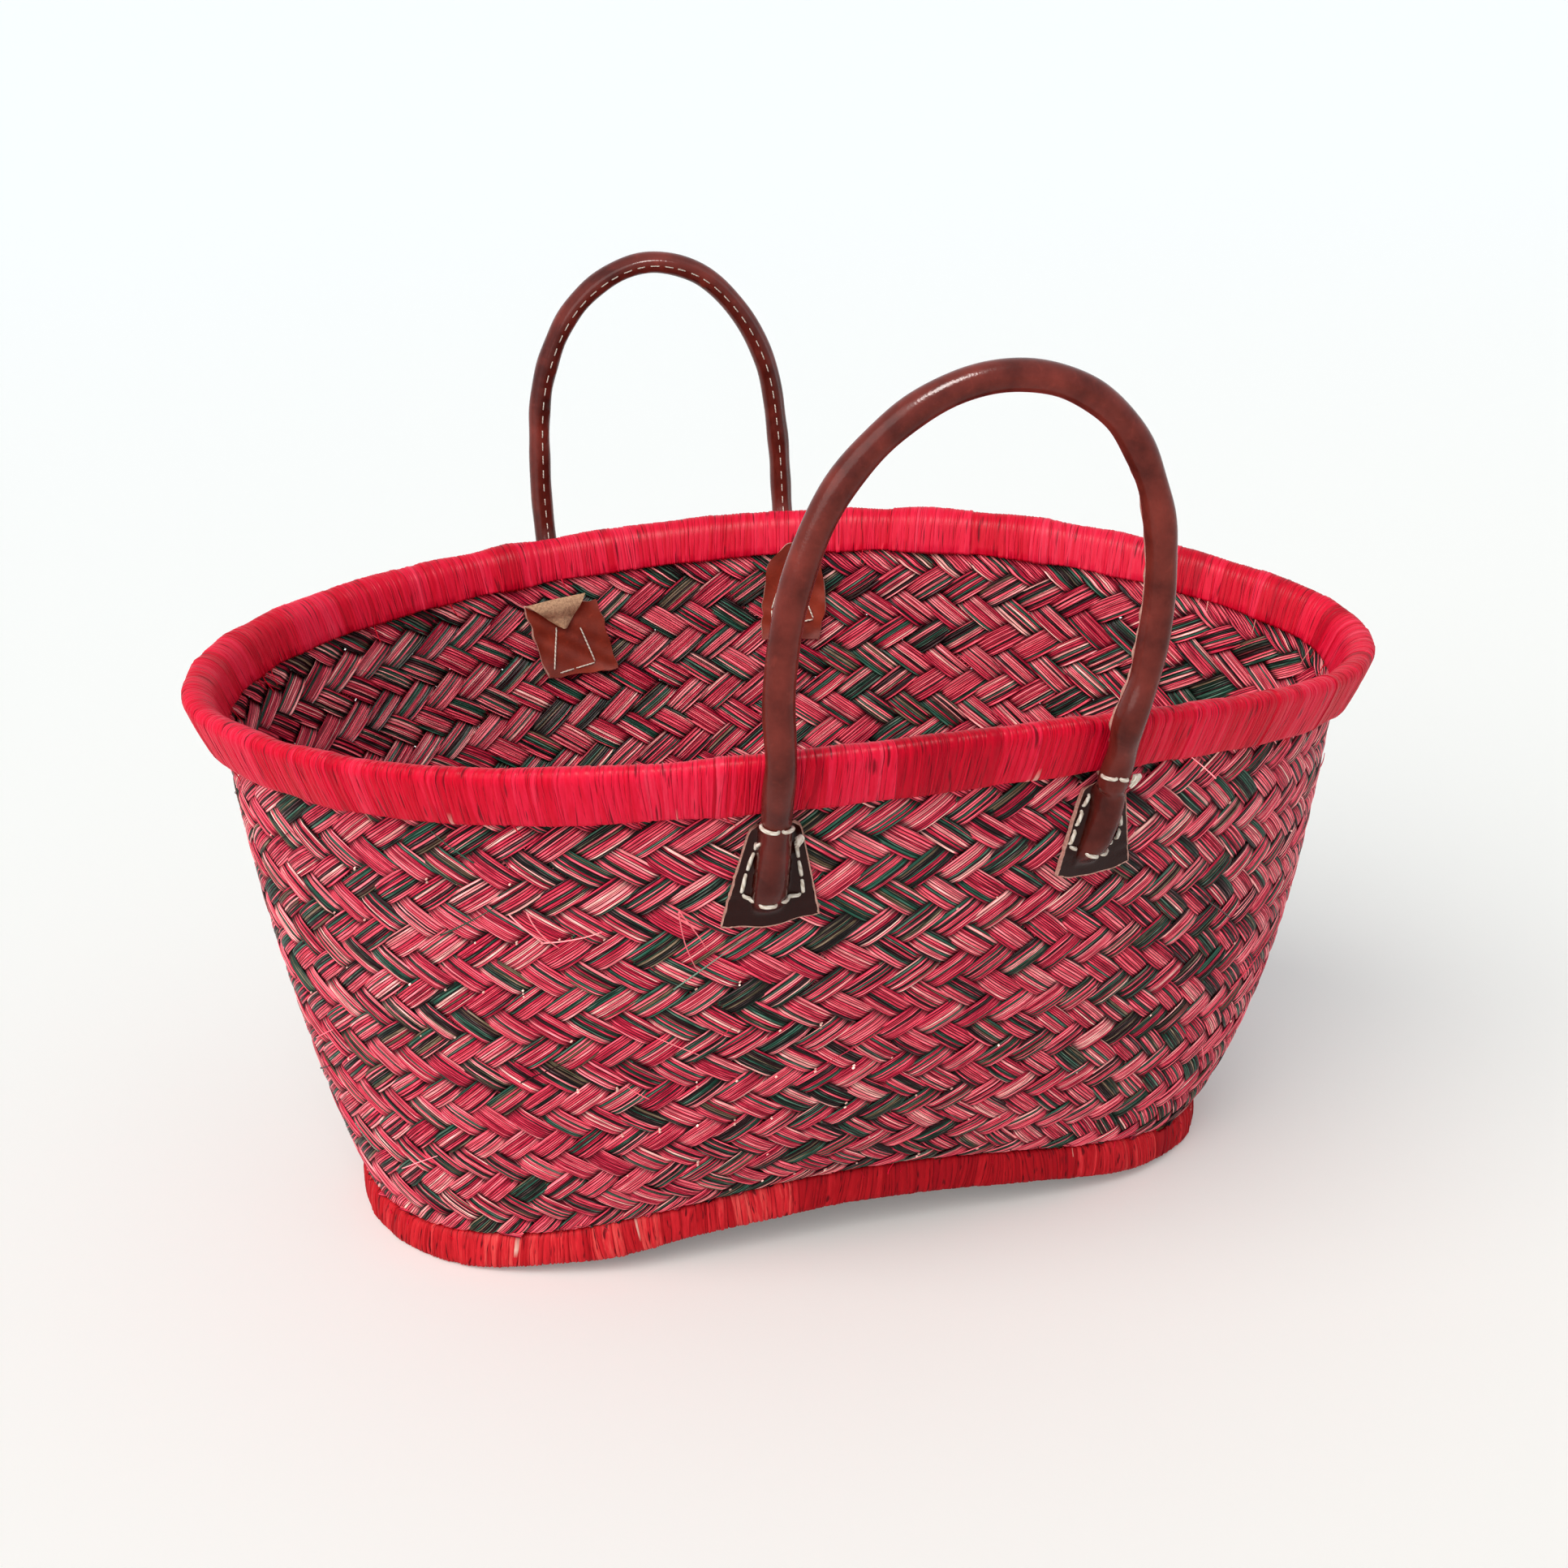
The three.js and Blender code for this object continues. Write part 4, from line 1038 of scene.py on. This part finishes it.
class RolledHandle:
    """One strip of leather: a tab, the rolled handle over its cord, and the other tab.

    Along the cord's line, outer points out of the loop and facing away from the basket."""

    def __init__(self, name, handle, columns=45):
        self.name, self.handle = name, handle
        self.middle, span, along, self.away, self.up = handle_frame(handle)
        loop = [self.middle + along * x * span / 2 + self.up * z * handle["rise"] for x, z in handle["bend"]]
        ends = {side: end_knots(handle[side], along) for side in SIDES}
        self.centre = smooth_path([*ends["left"][0], *loop, *ends["right"][0][::-1]], 1.5)
        self.travelled = running_length(self.centre)
        forward = unit(np.gradient(self.centre, axis=0))
        outer = unit(np.cross(self.away, forward))
        self.outer = outer * np.sign(np.dot(outer[len(outer) // 2], self.up))
        facing = unit(np.cross(forward, self.outer))
        self.facing = facing * np.sign(facing @ self.away)[:, None]
        rolled = self.roll(columns)
        self.reach = {side: reach[-1] for side, (_, reach, _) in ends.items()}
        halves = {side: self.join(side, *ends[side][1:], rolled) for side in SIDES}
        self.leather = {side: face for side, (face, _, _) in halves.items()}
        (left, left_worn, left_cut), (right, right_worn, right_cut) = halves.values()
        self.face = np.concatenate([left, right[::-1]])
        self.worn = np.concatenate([left_worn, right_worn[::-1]])
        # The cut edges show pale: the sides and foot of each tab, and the lap that closes the roll
        border = np.zeros((len(self.face) - 1, columns - 1))
        border[:left_cut, [0, -1]] = 1
        border[-right_cut:, [0, -1]] = 1
        border[[0, -1]] = 1
        self.border = border.ravel()

    def roll(self, columns):
        """The rolled leather as rows of points, one for each point of the cord's line."""
        angle, radius = rolled_section(columns)
        rng = np.random.default_rng(SEED + len(self.name))
        turn = self.travelled / self.travelled[-1] * FULL_TURN
        lumps, rough_edge = 0.16 * ripple(rng, (5, 22))(turn), 0.35 * ripple(rng, (30, 70))(turn)
        across = self.outer[:, None] * self.handle["squeeze"] * np.sin(angle)
        across = across + self.facing[:, None] * np.cos(angle)
        rolled = self.centre[:, None] + across * (radius + lumps[:, None])[..., None]
        rolled[:, -1] += self.outer * rough_edge[:, None]
        return rolled

    def join(self, side, reach, marks, rolled):
        """Rows from a tab's foot to the loop's middle, flat at first and then rolled.

        Returns them, how dark each point is, and how many rows have cut edges."""
        end, columns = self.handle[side], rolled.shape[1]
        heights, grid, dark = sewn_end(end, columns)
        turn = math.radians(end["tab"])
        lateral = off_wall(turn, 1.0, 10.0, 0.0) - off_wall(turn, 0.0, 10.0, 0.0)
        if np.dot(self.outer[0 if side == "left" else -1], lateral) < 0:
            grid, dark = grid[:, ::-1], dark[:, ::-1]
        from_end, total = self.travelled, self.travelled[-1]
        if side == "right":
            from_end, rolled = (total - from_end)[::-1], rolled[::-1]
        t = np.interp(from_end, reach, marks)
        kept = (t <= BLEND_FROM) & (from_end <= total / 2)
        t, from_end, rolled = t[kept], from_end[kept], rolled[kept]
        mix = smoothstep((BLEND_FROM - t) / (BLEND_FROM - BLEND_TO))
        mix = np.where(from_end < reach[-1], mix, 1.0)[:, None]
        # The roll keeps some of the tab's darker colour for about 70 mm above the tab
        fade = 0.34 * (1 - smoothstep((from_end - reach[-1]) / 70))[:, None]
        tab = heights > BLEND_FROM
        flat = interpolate(-t, -heights, grid.reshape(len(grid), -1)).reshape(rolled.shape)
        face = np.concatenate([grid[tab], flat * (1 - mix[..., None]) + rolled * mix[..., None]])
        worn = np.concatenate([dark[tab], interpolate(-t, -heights, dark) * (1 - mix) + fade * mix])
        return face, worn, tab.sum() + (mix < 1).sum()

    def on_roll(self, side, degrees, above, lift):
        """A point off the roll: degrees round it, and mm above where it leaves the tab."""
        spot = self.reach[side] + above
        if side == "right":
            spot = self.travelled[-1] - spot
        middle, outer, facing = (
            interpolate(spot, self.travelled, line) for line in (self.centre, self.outer, self.facing)
        )
        angle = math.radians(degrees)
        return middle + (outer * math.sin(angle) + facing * math.cos(angle)) * (HANDLE_RADIUS + lift)


def add_thread(gathered, path, radius, sides, turns):
    """A piece of twisted thread, and how many turns its plies have made at each point."""
    ply = np.pad(turns, 1, mode="edge")[:, None] + np.arange(sides) / sides
    gathered.add(*tube(path, radius, sides), ply=ply[..., None])


def stitched_line(gathered, holes, surface, radius, sink=0.9, slot_gap=0.5, steps=None):
    """Separate stitches from hole to hole, each rising out of the leather and going back in."""
    share = np.array([0, 0.02, 0.06, 0.13, 0.24, 0.37, 0.5, 0.63, 0.76, 0.87, 0.94, 0.98, 1.0])
    if steps:
        share = np.linspace(0, 1, steps)
    for a, b in zip(np.array(holes, float), np.array(holes[1:], float)):
        trim = slot_gap / np.linalg.norm(b - a)
        place = a + (b - a) * (trim + share * (1 - 2 * trim))[:, None]
        lift = radius * (np.minimum(np.sin(math.pi * share) * 3.4, 1) * 1.5 - 0.6) - sink * (share % 1 == 0)
        path = np.array([surface(*point, up) for point, up in zip(place, lift)])
        turns = running_length(path) / (5 * radius)
        # The finish paints turns far below 0 dark, as painted shade in a hole
        turns[[0, -1]] = -5
        add_thread(gathered, path, radius * (0.8 + 0.2 * np.sin(math.pi * share)), 8, turns)


def knot_tuft(gathered, centre, out, way, seed, size):
    """The thread's cut end at its knot, frayed into a soft flat tuft that points along a way."""
    rng = np.random.default_rng(seed)
    side = np.cross(out, way)
    share = np.linspace(0, 1, 8)
    for _ in range(22):
        spread = rng.uniform(-1, 1)
        reach = size * 4.6 * (1 - 0.4 * spread**2) * rng.uniform(0.6, 1.0)
        sideways = size * (spread * (0.9 + 0.9 * share) + 0.3 * np.sin(4 * share + rng.uniform(0, 6)))
        lift = size * (0.3 + rng.uniform(0.3, 1.5) * np.sin(math.pi * (0.25 + 0.75 * share)))
        path = centre + way * (share * reach - 0.8 * size)[:, None]
        path = path + side * sideways[:, None] + out * lift[:, None]
        radius = size * rng.uniform(0.28, 0.5) * (1 - 0.3 * share)
        gathered.add(*tube(path, radius, 6), ply=rng.uniform(-0.2, 0.3))


def make_handle(shape):
    """The leather strip, the cord in it and the stitches of its seam."""
    name, travelled = shape.name, shape.travelled
    points, quads, raw, source = thick_sheet(shape.face, 1.45, shape.facing[len(travelled) // 2])
    raw[: len(shape.border)] = shape.border
    strip = make(
        f"{name}_handle_strip", points, quads, "handle_leather", raw=raw, body=None,
        layers={"tab": shape.worn.reshape(-1)[source][:, None]},
        stands_for=(f"{name}_handle_leather", f"{name}_left_tab", f"{name}_right_tab"),
    )
    rod = tube(shape.centre[CORE_SHORTER:-CORE_SHORTER], CORE_RADIUS, 12, across=shape.away)
    core = make(
        f"{name}_handle_core", *rod, "cord", body=None,
        stands_for=(f"{name}_handle_cord", f"{name}_left_cord_end", f"{name}_right_cord_end"),
    )
    seam = Gathered()
    way = shape.outer * math.sin(SEAM_ANGLE) + shape.facing * math.cos(SEAM_ANGLE)
    arch = HANDLE_RADIUS + 1.25 + 0.35 * np.minimum(np.sin(np.linspace(0, math.pi, 9)) * 2.4, 1) - 0.25
    rng = np.random.default_rng(SEED + 40 + len(name))
    for start in np.arange(SEAM_MARGIN, travelled[-1] - SEAM_MARGIN - SEAM_STITCH, SEAM_PITCH):
        spot = start + np.linspace(0, SEAM_STITCH * rng.uniform(0.85, 1.1), 9) + rng.uniform(-0.3, 0.3)
        out = unit(interpolate(spot, travelled, way)) * arch[:, None]
        add_thread(seam, interpolate(spot, travelled, shape.centre) + out, SEAM_THREAD, 6, spot / 1.4)
    stands_for = (f"{name}_handle_seam",)
    thread = seam.make(f"{name}_handle_seam_stitches", "thread", body=None, stands_for=stands_for)
    bend = 9.0
    start, end = ((shape.middle + shape.up * step + ORIGIN) / 1000 for step in (-bend, bend))
    for piece in (strip, core, thread):
        tuple(start)
        tuple(end)
        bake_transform(piece)


def sew_tab(shape, side, sizes):
    """The stitches and the knot that hold one tab, seen from outside."""
    key, end = f"{shape.name}_{side}", shape.handle[side]
    turn, leather = math.radians(end["tab"]), shape.leather[side]
    # The wall is nearly flat here, so a plane through the tab's middle carries the lookup
    origin = off_wall(turn, 0.0, 0.0, 0.0)
    along = unit(off_wall(turn, 5.0, 20.0, 0.0) - off_wall(turn, -5.0, 20.0, 0.0))
    down = off_wall(turn, 0.0, 40.0, 0.0) - origin
    down = unit(down - along * np.dot(down, along))
    out = np.cross(down, along)
    out *= np.sign(np.dot(out, off_wall(turn, 0.0, 20.0, 5.0) - off_wall(turn, 0.0, 20.0, 0.0)))
    shell = BVHTree.FromPolygons(leather.reshape(-1, 3).tolist(), grid_faces(*leather.shape[:2]).tolist())

    def surface(s, t, lift):
        spot, facing, _, _ = shell.ray_cast(Vector(origin + along * s + down * t + out * 40), Vector(-out))
        if spot is None:
            raise RuntimeError(f"A stitch of {key} misses the leather at {s}, {t}")
        facing = np.array(facing) * np.sign(np.dot(facing, out))
        return np.array(spot) + unit(facing + 0.5 * out) * lift

    def on_roll(degrees, above, lift):
        return shape.on_roll(side, degrees, above, lift)

    outside, radius = Gathered(), 500 * sizes.tab_thread
    stitched_line(outside, STITCH_HOLES[key], surface, radius, slot_gap=1.0)
    stitched_line(outside, OVER_STITCHES[key], on_roll, radius, slot_gap=5.0, steps=15)
    degrees, above, lift, size, slant = KNOTS[key]
    knot = on_roll(degrees, above, lift)
    aside = unit(unit(on_roll(degrees, above, lift + 1) - knot) + 1.5 * out)
    way = along * math.sin(slant) + down * math.cos(slant)
    way = unit(way - aside * np.dot(way, aside))
    knot_tuft(outside, knot, aside, way, SEED + round(end["tab"]), size)
    outside.make(f"{key}_outside_stitches", "thread", stands_for=(f"{key}_stitching",))


def patch_face(key, turn, rng):
    """A patch's inner face as a grid of points, with its corners a little curled."""
    *edges, crown = PATCH_SIDES[key]
    a, b = np.meshgrid(np.linspace(0, 1, 21), np.linspace(0, 1, 21), indexing="ij")
    left, right = (interpolate(a, np.linspace(0, 1, len(edge)), edge) for edge in edges)
    place = left * (1 - b[..., None]) + right * b[..., None]
    curled = crown * (1 - a) ** 5 * np.sin(math.pi * b)
    place[..., 1] -= curled
    wave = ripple(rng, (1, 4))
    place = place + 0.35 * np.stack([wave(a * 7), wave(b * 6 + 2)], -1)
    curl = (np.abs(2 * a - 1) ** 4 + np.abs(2 * b - 1) ** 4) * 0.8
    depth = PATCH_FACE + curl * (1 + 0.6 * wave(a * 3 + b * 2)) + 0.25 * wave(a * 6 - b * 4) + 0.55 * curled
    return off_wall(turn, place[..., 0], place[..., 1], -depth)


def back_patch(key, end, sizes):
    """One backing patch with its stitches, seen from inside."""
    turn = math.radians(end["tab"])
    rng = np.random.default_rng(SEED + 60 + round(end["tab"]))
    face = patch_face(key, turn, rng)
    points, quads, raw, _ = thick_sheet(face, LEATHER_THICKNESS - 0.2, -weave_normal(turn, 1.85))
    make(
        f"{key}_backing_patch", points, quads, "patch_leather", raw=raw,
        layers={"tab": np.zeros((len(points), 1))}, stands_for=(f"{key}_patch",),
    )

    def surface(s, t, lift):
        return off_wall(turn, s, t, -(PATCH_FACE + 0.25 + lift))

    inside = Gathered()
    holes = INSIDE_HOLES.get(key, STITCH_HOLES[key])
    stitched_line(inside, holes, surface, 250 * sizes.tab_thread, sink=0.6)
    inside.make(f"{key}_inside_stitches", "thread", stands_for=(f"{key}_stitching",))
    if key == FOLDED_PATCH:
        fold_flap(key, turn)


def fold_flap(key, turn):
    """The patch's upper corner, turned down over it with its flesh side out."""
    a, b = np.meshgrid(np.linspace(0, 1, 13), np.linspace(0, 1, 17), indexing="ij")
    upper, lower = (interpolate(b, [0, 0.5, 1], line) for line in (FOLD, FOLD_TIP))
    place = upper * (1 - a[..., None]) + lower * a[..., None]
    bulge = 2.2 * np.sin(math.pi * np.minimum(a * 1.4 + 0.1, 1)) + 1.6 * a * np.sin(math.pi * b)
    face = off_wall(turn, place[..., 0], place[..., 1], -(PATCH_FACE + 1.7 + bulge))
    points, quads, raw, _ = thick_sheet(face, LEATHER_THICKNESS - 0.3, -weave_normal(turn, 1.9))
    make(f"{key}_patch_fold", points, quads, "patch_leather", raw=raw, finish="suede")


# Loose ends


def loose_stems(sizes):
    """Stem ends that have worked out of the plaiting, outside and in."""
    rng = np.random.default_rng(SEED + 90)
    strips, rows = sizes.strips_round, sizes.crossings_up
    place, _ = wall_lattice(strips, rows)
    ends = Gathered()

    def add_stem(path, radius, sides, label, tone):
        ends.add(*tube(path, radius, sides), stem=[0.5, 0.0, label], dye=[tone, 1.0, 0.0])

    share = np.linspace(0, 1, 9)
    starts = [(rng.uniform(0, strips), rng.uniform(1, rows - 1)) for _ in range(56)]
    for number, (p, q) in enumerate(starts):
        outside = rng.uniform() < 0.75
        direction = rng.choice([-1, 1])
        length, bow = rng.uniform(0.6, 2.2), rng.uniform(-0.25, 0.25)
        up = np.clip(q + share * length * rng.uniform(0.75, 1.1), 0.2, rows)
        turn, u = place(p + direction * share * length + bow * share**2, up)
        rise = rng.uniform(0.4, 1.1)
        if outside:
            out = 0.1 + rise * np.sin(share * math.pi * rng.uniform(0.45, 0.95))
        else:
            out = -2.5 - rise * share
        radius, tone = rng.uniform(0.2, 0.36) * (1 - 0.5 * share), rng.choice([0.1, 0.2, 0.5, 0.6, 0.75])
        add_stem(off_weave(turn, u, out), radius, 5, 20000.0 + number, tone)
    share = np.linspace(0, 1, 12)
    for number, ((turn_a, u_a), (turn_b, u_b)) in enumerate(STRAY_STEMS):
        bow = 0.25 * np.sin(math.pi * share) * (-1) ** number
        turn = np.radians(turn_a + (turn_b - turn_a) * share + bow)
        out = 0.3 + 2.2 * np.sin(math.pi * (0.1 + 0.75 * share))
        path = off_weave(turn, u_a + (u_b - u_a) * share, out)
        add_stem(path, 0.3 * (1 - 0.4 * share), 5, 25000.0 + number, 0.78)
    # Short pale bits at crossings, most of all low on the front
    for number in range(130):
        level = 2 * rng.integers(0, 8)
        p = rng.uniform(50, 60) if number < 80 else rng.uniform(0, strips)
        around = (round(p) - level + np.array([-0.86, -0.78])) % strips
        turn, u = place(around, np.array([0.66, 0.76]) + level + rng.uniform(-0.15, 0.15))
        path = off_weave(turn, u, 0.05)
        path[1] = path[0] + unit(path[1] - path[0]) * rng.uniform(0.5, 1.1)
        add_stem(path, rng.uniform(0.28, 0.45), 6, 30000.0 + number, 1.2)
    ends.make("loose_stems", "plaited_fibre")


def loose_raffia():
    """Torn ends of raffia under the rim and round the foot."""
    rng = np.random.default_rng(SEED + 91)
    ends = Gathered()
    share = np.linspace(0, 1, 7)
    for _ in range(120):
        where = rng.choice(["inside", "outside", "foot"], p=[0.5, 0.25, 0.25])
        turn = rng.uniform(0, FULL_TURN)
        length = rng.uniform(3, 11) * share
        turn = turn + rng.uniform(-0.018, 0.018) * share**1.5
        curl = rng.uniform(0.2, 1.6) * share**2
        if where == "inside":
            path = on_rim(turn, -BAND_HALF + 0.8 - curl, -BAND_INSIDE + 0.8 - length * 0.8)
        elif where == "outside":
            path = on_rim(turn, BAND_HALF - 1.4 - 2.4 * share + curl, -BAND_OUTSIDE + 0.8 - length * 0.6)
        else:
            path = on_foot(turn, 0.2 + curl - 0.4 * share, FOOT_HEIGHT - 3.5 + length * 0.45)
        rod = tube(path, rng.uniform(0.18, 0.4) * (1 - 0.6 * share), 5)
        bare = 0.5 if rng.uniform() < 0.2 else 0.0
        strand = [rng.integers(0, 900) + 0.5, rng.uniform(0, 400), 0.0]
        ends.add(*rod, strand=strand, dye=[rng.uniform(0.15, 0.45), bare, 0.0])
    ends.make("loose_raffia", "rim_raffia")


# Stage


def studio_floor():
    """A pale floor that the camera sees as nearly white, and that keeps the basket's shadow."""
    finish, add = new_finish("matt_white_paper_sweep")
    coords = add("TexCoord").outputs["Object"]
    place = add("SeparateXYZ", [coords])
    depth = add("MapRange", [place.outputs[1], -1.2, 4.0, 0.0, 1.0])
    paper = add("ValToRGB", [depth], [(0.0, linear("E9E8E3")), (1.0, linear("E8EEF1"))])
    matt = add("BsdfDiffuse", {"Color": paper})
    glow = add("Emission", {"Color": paper, "Strength": 0.2})
    both = add("AddShader", [matt, glow])
    light = add("LightPath")
    seen = add("MixShader", [light.outputs["Is Camera Ray"], matt, both])
    add("OutputMaterial", {"Surface": seen})
    return finish


def lay_floor():
    """The studio's floor, 28 m across."""
    half = 14
    mesh = bpy.data.meshes.new("studio_floor")
    corners = [(-half, -half, 0), (half, -half, 0), (half, half, 0), (-half, half, 0)]
    mesh.from_pydata(corners, [], [(0, 1, 2, 3)])
    mesh.materials.append(studio_floor())
    floor = bpy.data.objects.new("studio_floor", mesh)
    bpy.context.scene.collection.objects.link(floor)


def hang_lights(stage):
    """Light from all round with a white background, and two lamps.

    A wide window at the left gives the shade, and a brighter pane higher up only the highlights."""
    world = bpy.data.worlds.new("studio")
    world.use_nodes = True
    world.node_tree.nodes.clear()
    add = node_adder(world.node_tree)
    rays = add("LightPath").outputs
    seen = add("Math", [rays["Is Camera Ray"], rays["Is Transmission Ray"]], operation="MAXIMUM")
    seen = add("Math", [seen, rays["Is Glossy Ray"]], operation="MAXIMUM")
    soft = add("Background", {"Color": linear("F6FAFF"), "Strength": stage.sky_light})
    white = add("Background", {"Color": linear("F4F8FB"), "Strength": 1.0})
    mixed = add("MixShader", [seen, soft, white])
    add("OutputWorld", {"Surface": mixed})
    bpy.context.scene.world = world
    lamps = (
        ("wide_window", stage.window_light, 58, (0.6, 0.42, -0.68)),
        ("bright_pane", stage.pane_light, 20, (0.02, 0.42, -0.91)),
    )
    for name, energy, angle, travels in lamps:
        lamp = bpy.data.lights.new(name, "SUN")
        lamp.energy, lamp.angle, lamp.color = energy, math.radians(angle), linear("FFFBF6")
        window = bpy.data.objects.new(name, lamp)
        window.matrix_world = Vector(travels).to_track_quat("-Z", "Y").to_matrix().to_4x4()
        window.visible_diffuse = name == "wide_window"
        bpy.context.scene.collection.objects.link(window)


def set_camera():
    """The camera solved for from the photograph, in metres and radians."""
    lens = bpy.data.cameras.new("photograph")
    lens.lens, lens.sensor_width = 59.20, 36
    camera = bpy.data.objects.new("photograph", lens)
    yaw, pitch, roll = 0.3528, -0.3590, 0.0027
    forward = np.array([math.sin(yaw) * math.cos(pitch), math.cos(yaw) * math.cos(pitch), math.sin(pitch)])
    right = unit(np.cross(forward, [0, 0, 1.0]))
    upward = np.cross(right, forward)
    level = math.cos(roll) * right + math.sin(roll) * upward
    tilted = math.cos(roll) * upward - math.sin(roll) * right
    turned = Matrix(np.stack([level, tilted, -forward], -1).tolist())
    camera.matrix_world = Matrix.Translation((-0.3504, -0.9286, 0.5336)) @ turned.to_4x4()
    bpy.context.scene.collection.objects.link(camera)
    bpy.context.scene.camera = camera


# The add-on


def size(name, description, default):
    """A length in metres."""
    return bpy.props.FloatProperty(name=name, description=description, default=default, unit="LENGTH")


def dye(name, description, code):
    """A colour, from its hex code."""
    return bpy.props.FloatVectorProperty(
        name=name, description=description, subtype="COLOR", size=3, min=0, max=1, default=linear(code)
    )


def strength(name, description, default):
    """How strong a light is."""
    return bpy.props.FloatProperty(name=name, description=description, default=default, min=0, max=10)


class BasketSizes(bpy.types.PropertyGroup):
    strips_round: bpy.props.IntProperty(
        name="Strips round", description="Strips of each slant round the wall", default=72, min=24, max=160
    )
    crossings_up: bpy.props.FloatProperty(
        name="Crossings up", description="Crossings from the floor to the rim", default=17.0, min=6, max=40
    )
    stems_in_strip: bpy.props.IntProperty(
        name="Stems in a strip", description="Split stems side by side in a strip", default=11, min=2, max=16
    )
    weave_relief: size("Weave relief", "From the top of an upper strip to that of a lower one", 0.0019)
    rim_ribbon: size("Rim ribbon", "Usual width of the raffia on the rim", 0.00135)
    foot_ribbon: size("Foot ribbon", "Usual width of the raffia on the foot", 0.0016)
    tab_thread: size("Tab thread", "Diameter of the thread on the tabs", 0.0015)


class BasketColours(bpy.types.PropertyGroup):
    crimson_stem: dye("Crimson stems", "The darker red of the plaiting", "C41E40")
    rose_stem: dye("Rose stems", "The lighter red of the plaiting", "F05468")
    green_stem: dye("Green stems", "The green of the plaiting", "2E6552")
    black_stem: dye("Black stems", "The darkest stems of the plaiting", "101816")
    rim_raffia: dye("Rim raffia", "The ribbons wound on the rim", "DA082A")
    foot_raffia: dye("Foot raffia", "The ribbons wound on the foot", "B8141F")
    undyed: dye("Undyed fibre", "Ribbons that the dye missed", "F0CDBB")
    leather: dye("Handle leather", "The rolled handles", "82332A")
    tab_leather: dye("Tab leather", "The sewn ends of the handles", "280804")
    thread: dye("Thread", "All the stitching", "EFE6D8")


class BasketStage(bpy.types.PropertyGroup):
    sky_light: strength("Sky light", "Strength of the light from all round", 0.54)
    window_light: strength("Window light", "Strength of the soft light from the upper left", 2.25)
    pane_light: strength("Pane light", "Strength of the narrower light that makes the highlights", 5.0)


class BASKET_OT_stage(bpy.types.Operator):
    """Lays the floor, hangs the soft light and sets the camera"""

    bl_idname = "basket.stage"
    bl_label = "Stage and camera"

    def execute(self, context):
        context.scene.view_settings.view_transform = "Standard"
        lay_floor()
        hang_lights(context.scene.basket_stage)
        set_camera()
        return {"FINISHED"}


class BASKET_OT_plaiting(bpy.types.Operator):
    """Plaits the wall and the floor from strips of split stems"""

    bl_idname = "basket.plaiting"
    bl_label = "Plaited body"

    def execute(self, context):
        plait_wall(context.scene.basket_sizes)
        plait_floor(context.scene.basket_sizes)
        return {"FINISHED"}


class BASKET_OT_bindings(bpy.types.Operator):
    """Winds raffia round the rim and the foot"""

    bl_idname = "basket.bindings"
    bl_label = "Raffia bindings"

    def execute(self, context):
        wind_rim(context.scene.basket_sizes)
        wind_foot(context.scene.basket_sizes)
        return {"FINISHED"}


class BASKET_OT_hoops(bpy.types.Operator):
    """Finishes the cane hoops inside the bindings"""

    bl_idname = "basket.hoops"
    bl_label = "Cane hoops"

    def execute(self, context):
        for name in ("rim_hoop_outer", "rim_hoop_inner", "foot_hoop"):
            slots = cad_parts[name].data.materials
            slots.clear()
            slots.append(finish_of("cane"))
        return {"FINISHED"}


class BASKET_OT_handles(bpy.types.Operator):
    """Rolls both handles from leather over cord, and sews their ends to the wall"""

    bl_idname = "basket.handles"
    bl_label = "Leather handles"

    def execute(self, context):
        for name, handle in HANDLES.items():
            shape = RolledHandle(name, handle)
            make_handle(shape)
            for side in SIDES:
                sew_tab(shape, side, context.scene.basket_sizes)
        return {"FINISHED"}


class BASKET_OT_patches(bpy.types.Operator):
    """Lays the backing patches inside and sews them"""

    bl_idname = "basket.patches"
    bl_label = "Backing patches"

    def execute(self, context):
        for name, handle in HANDLES.items():
            for side in SIDES:
                back_patch(f"{name}_{side}", handle[side], context.scene.basket_sizes)
        return {"FINISHED"}


class BASKET_OT_loose_ends(bpy.types.Operator):
    """Adds the stems and raffia that have worked loose"""

    bl_idname = "basket.loose_ends"
    bl_label = "Loose ends"

    def execute(self, context):
        loose_stems(context.scene.basket_sizes)
        loose_raffia()
        return {"FINISHED"}


STEPS = ("stage", "plaiting", "bindings", "hoops", "handles", "patches", "loose_ends")
GROUPS = {"basket_sizes": BasketSizes, "basket_colours": BasketColours, "basket_stage": BasketStage}


class BASKET_PT_sidebar(bpy.types.Panel):
    """Sizes, colours and steps of the basket"""

    bl_label = "Woven basket"
    bl_idname = "BASKET_PT_sidebar"
    bl_space_type = "VIEW_3D"
    bl_region_type = "UI"
    bl_category = "Basket"

    def draw(self, context):
        for name in GROUPS:
            group, column = getattr(context.scene, name), self.layout.column()
            for key in group.__annotations__:
                column.prop(group, key)
        for step in STEPS:
            self.layout.operator(f"basket.{step}")


CLASSES = (
    *GROUPS.values(), BASKET_OT_stage, BASKET_OT_plaiting, BASKET_OT_bindings, BASKET_OT_hoops,
    BASKET_OT_handles, BASKET_OT_patches, BASKET_OT_loose_ends, BASKET_PT_sidebar,
)


def register():
    for kind in CLASSES:
        bpy.utils.register_class(kind)
    for name, group in GROUPS.items():
        setattr(bpy.types.Scene, name, bpy.props.PointerProperty(type=group))


def unregister():
    for name in GROUPS:
        delattr(bpy.types.Scene, name)
    for kind in reversed(CLASSES):
        bpy.utils.unregister_class(kind)


def main():
    register()
    for step in STEPS:
        getattr(bpy.ops.basket, step)()


if __name__ == "__main__":
    main()
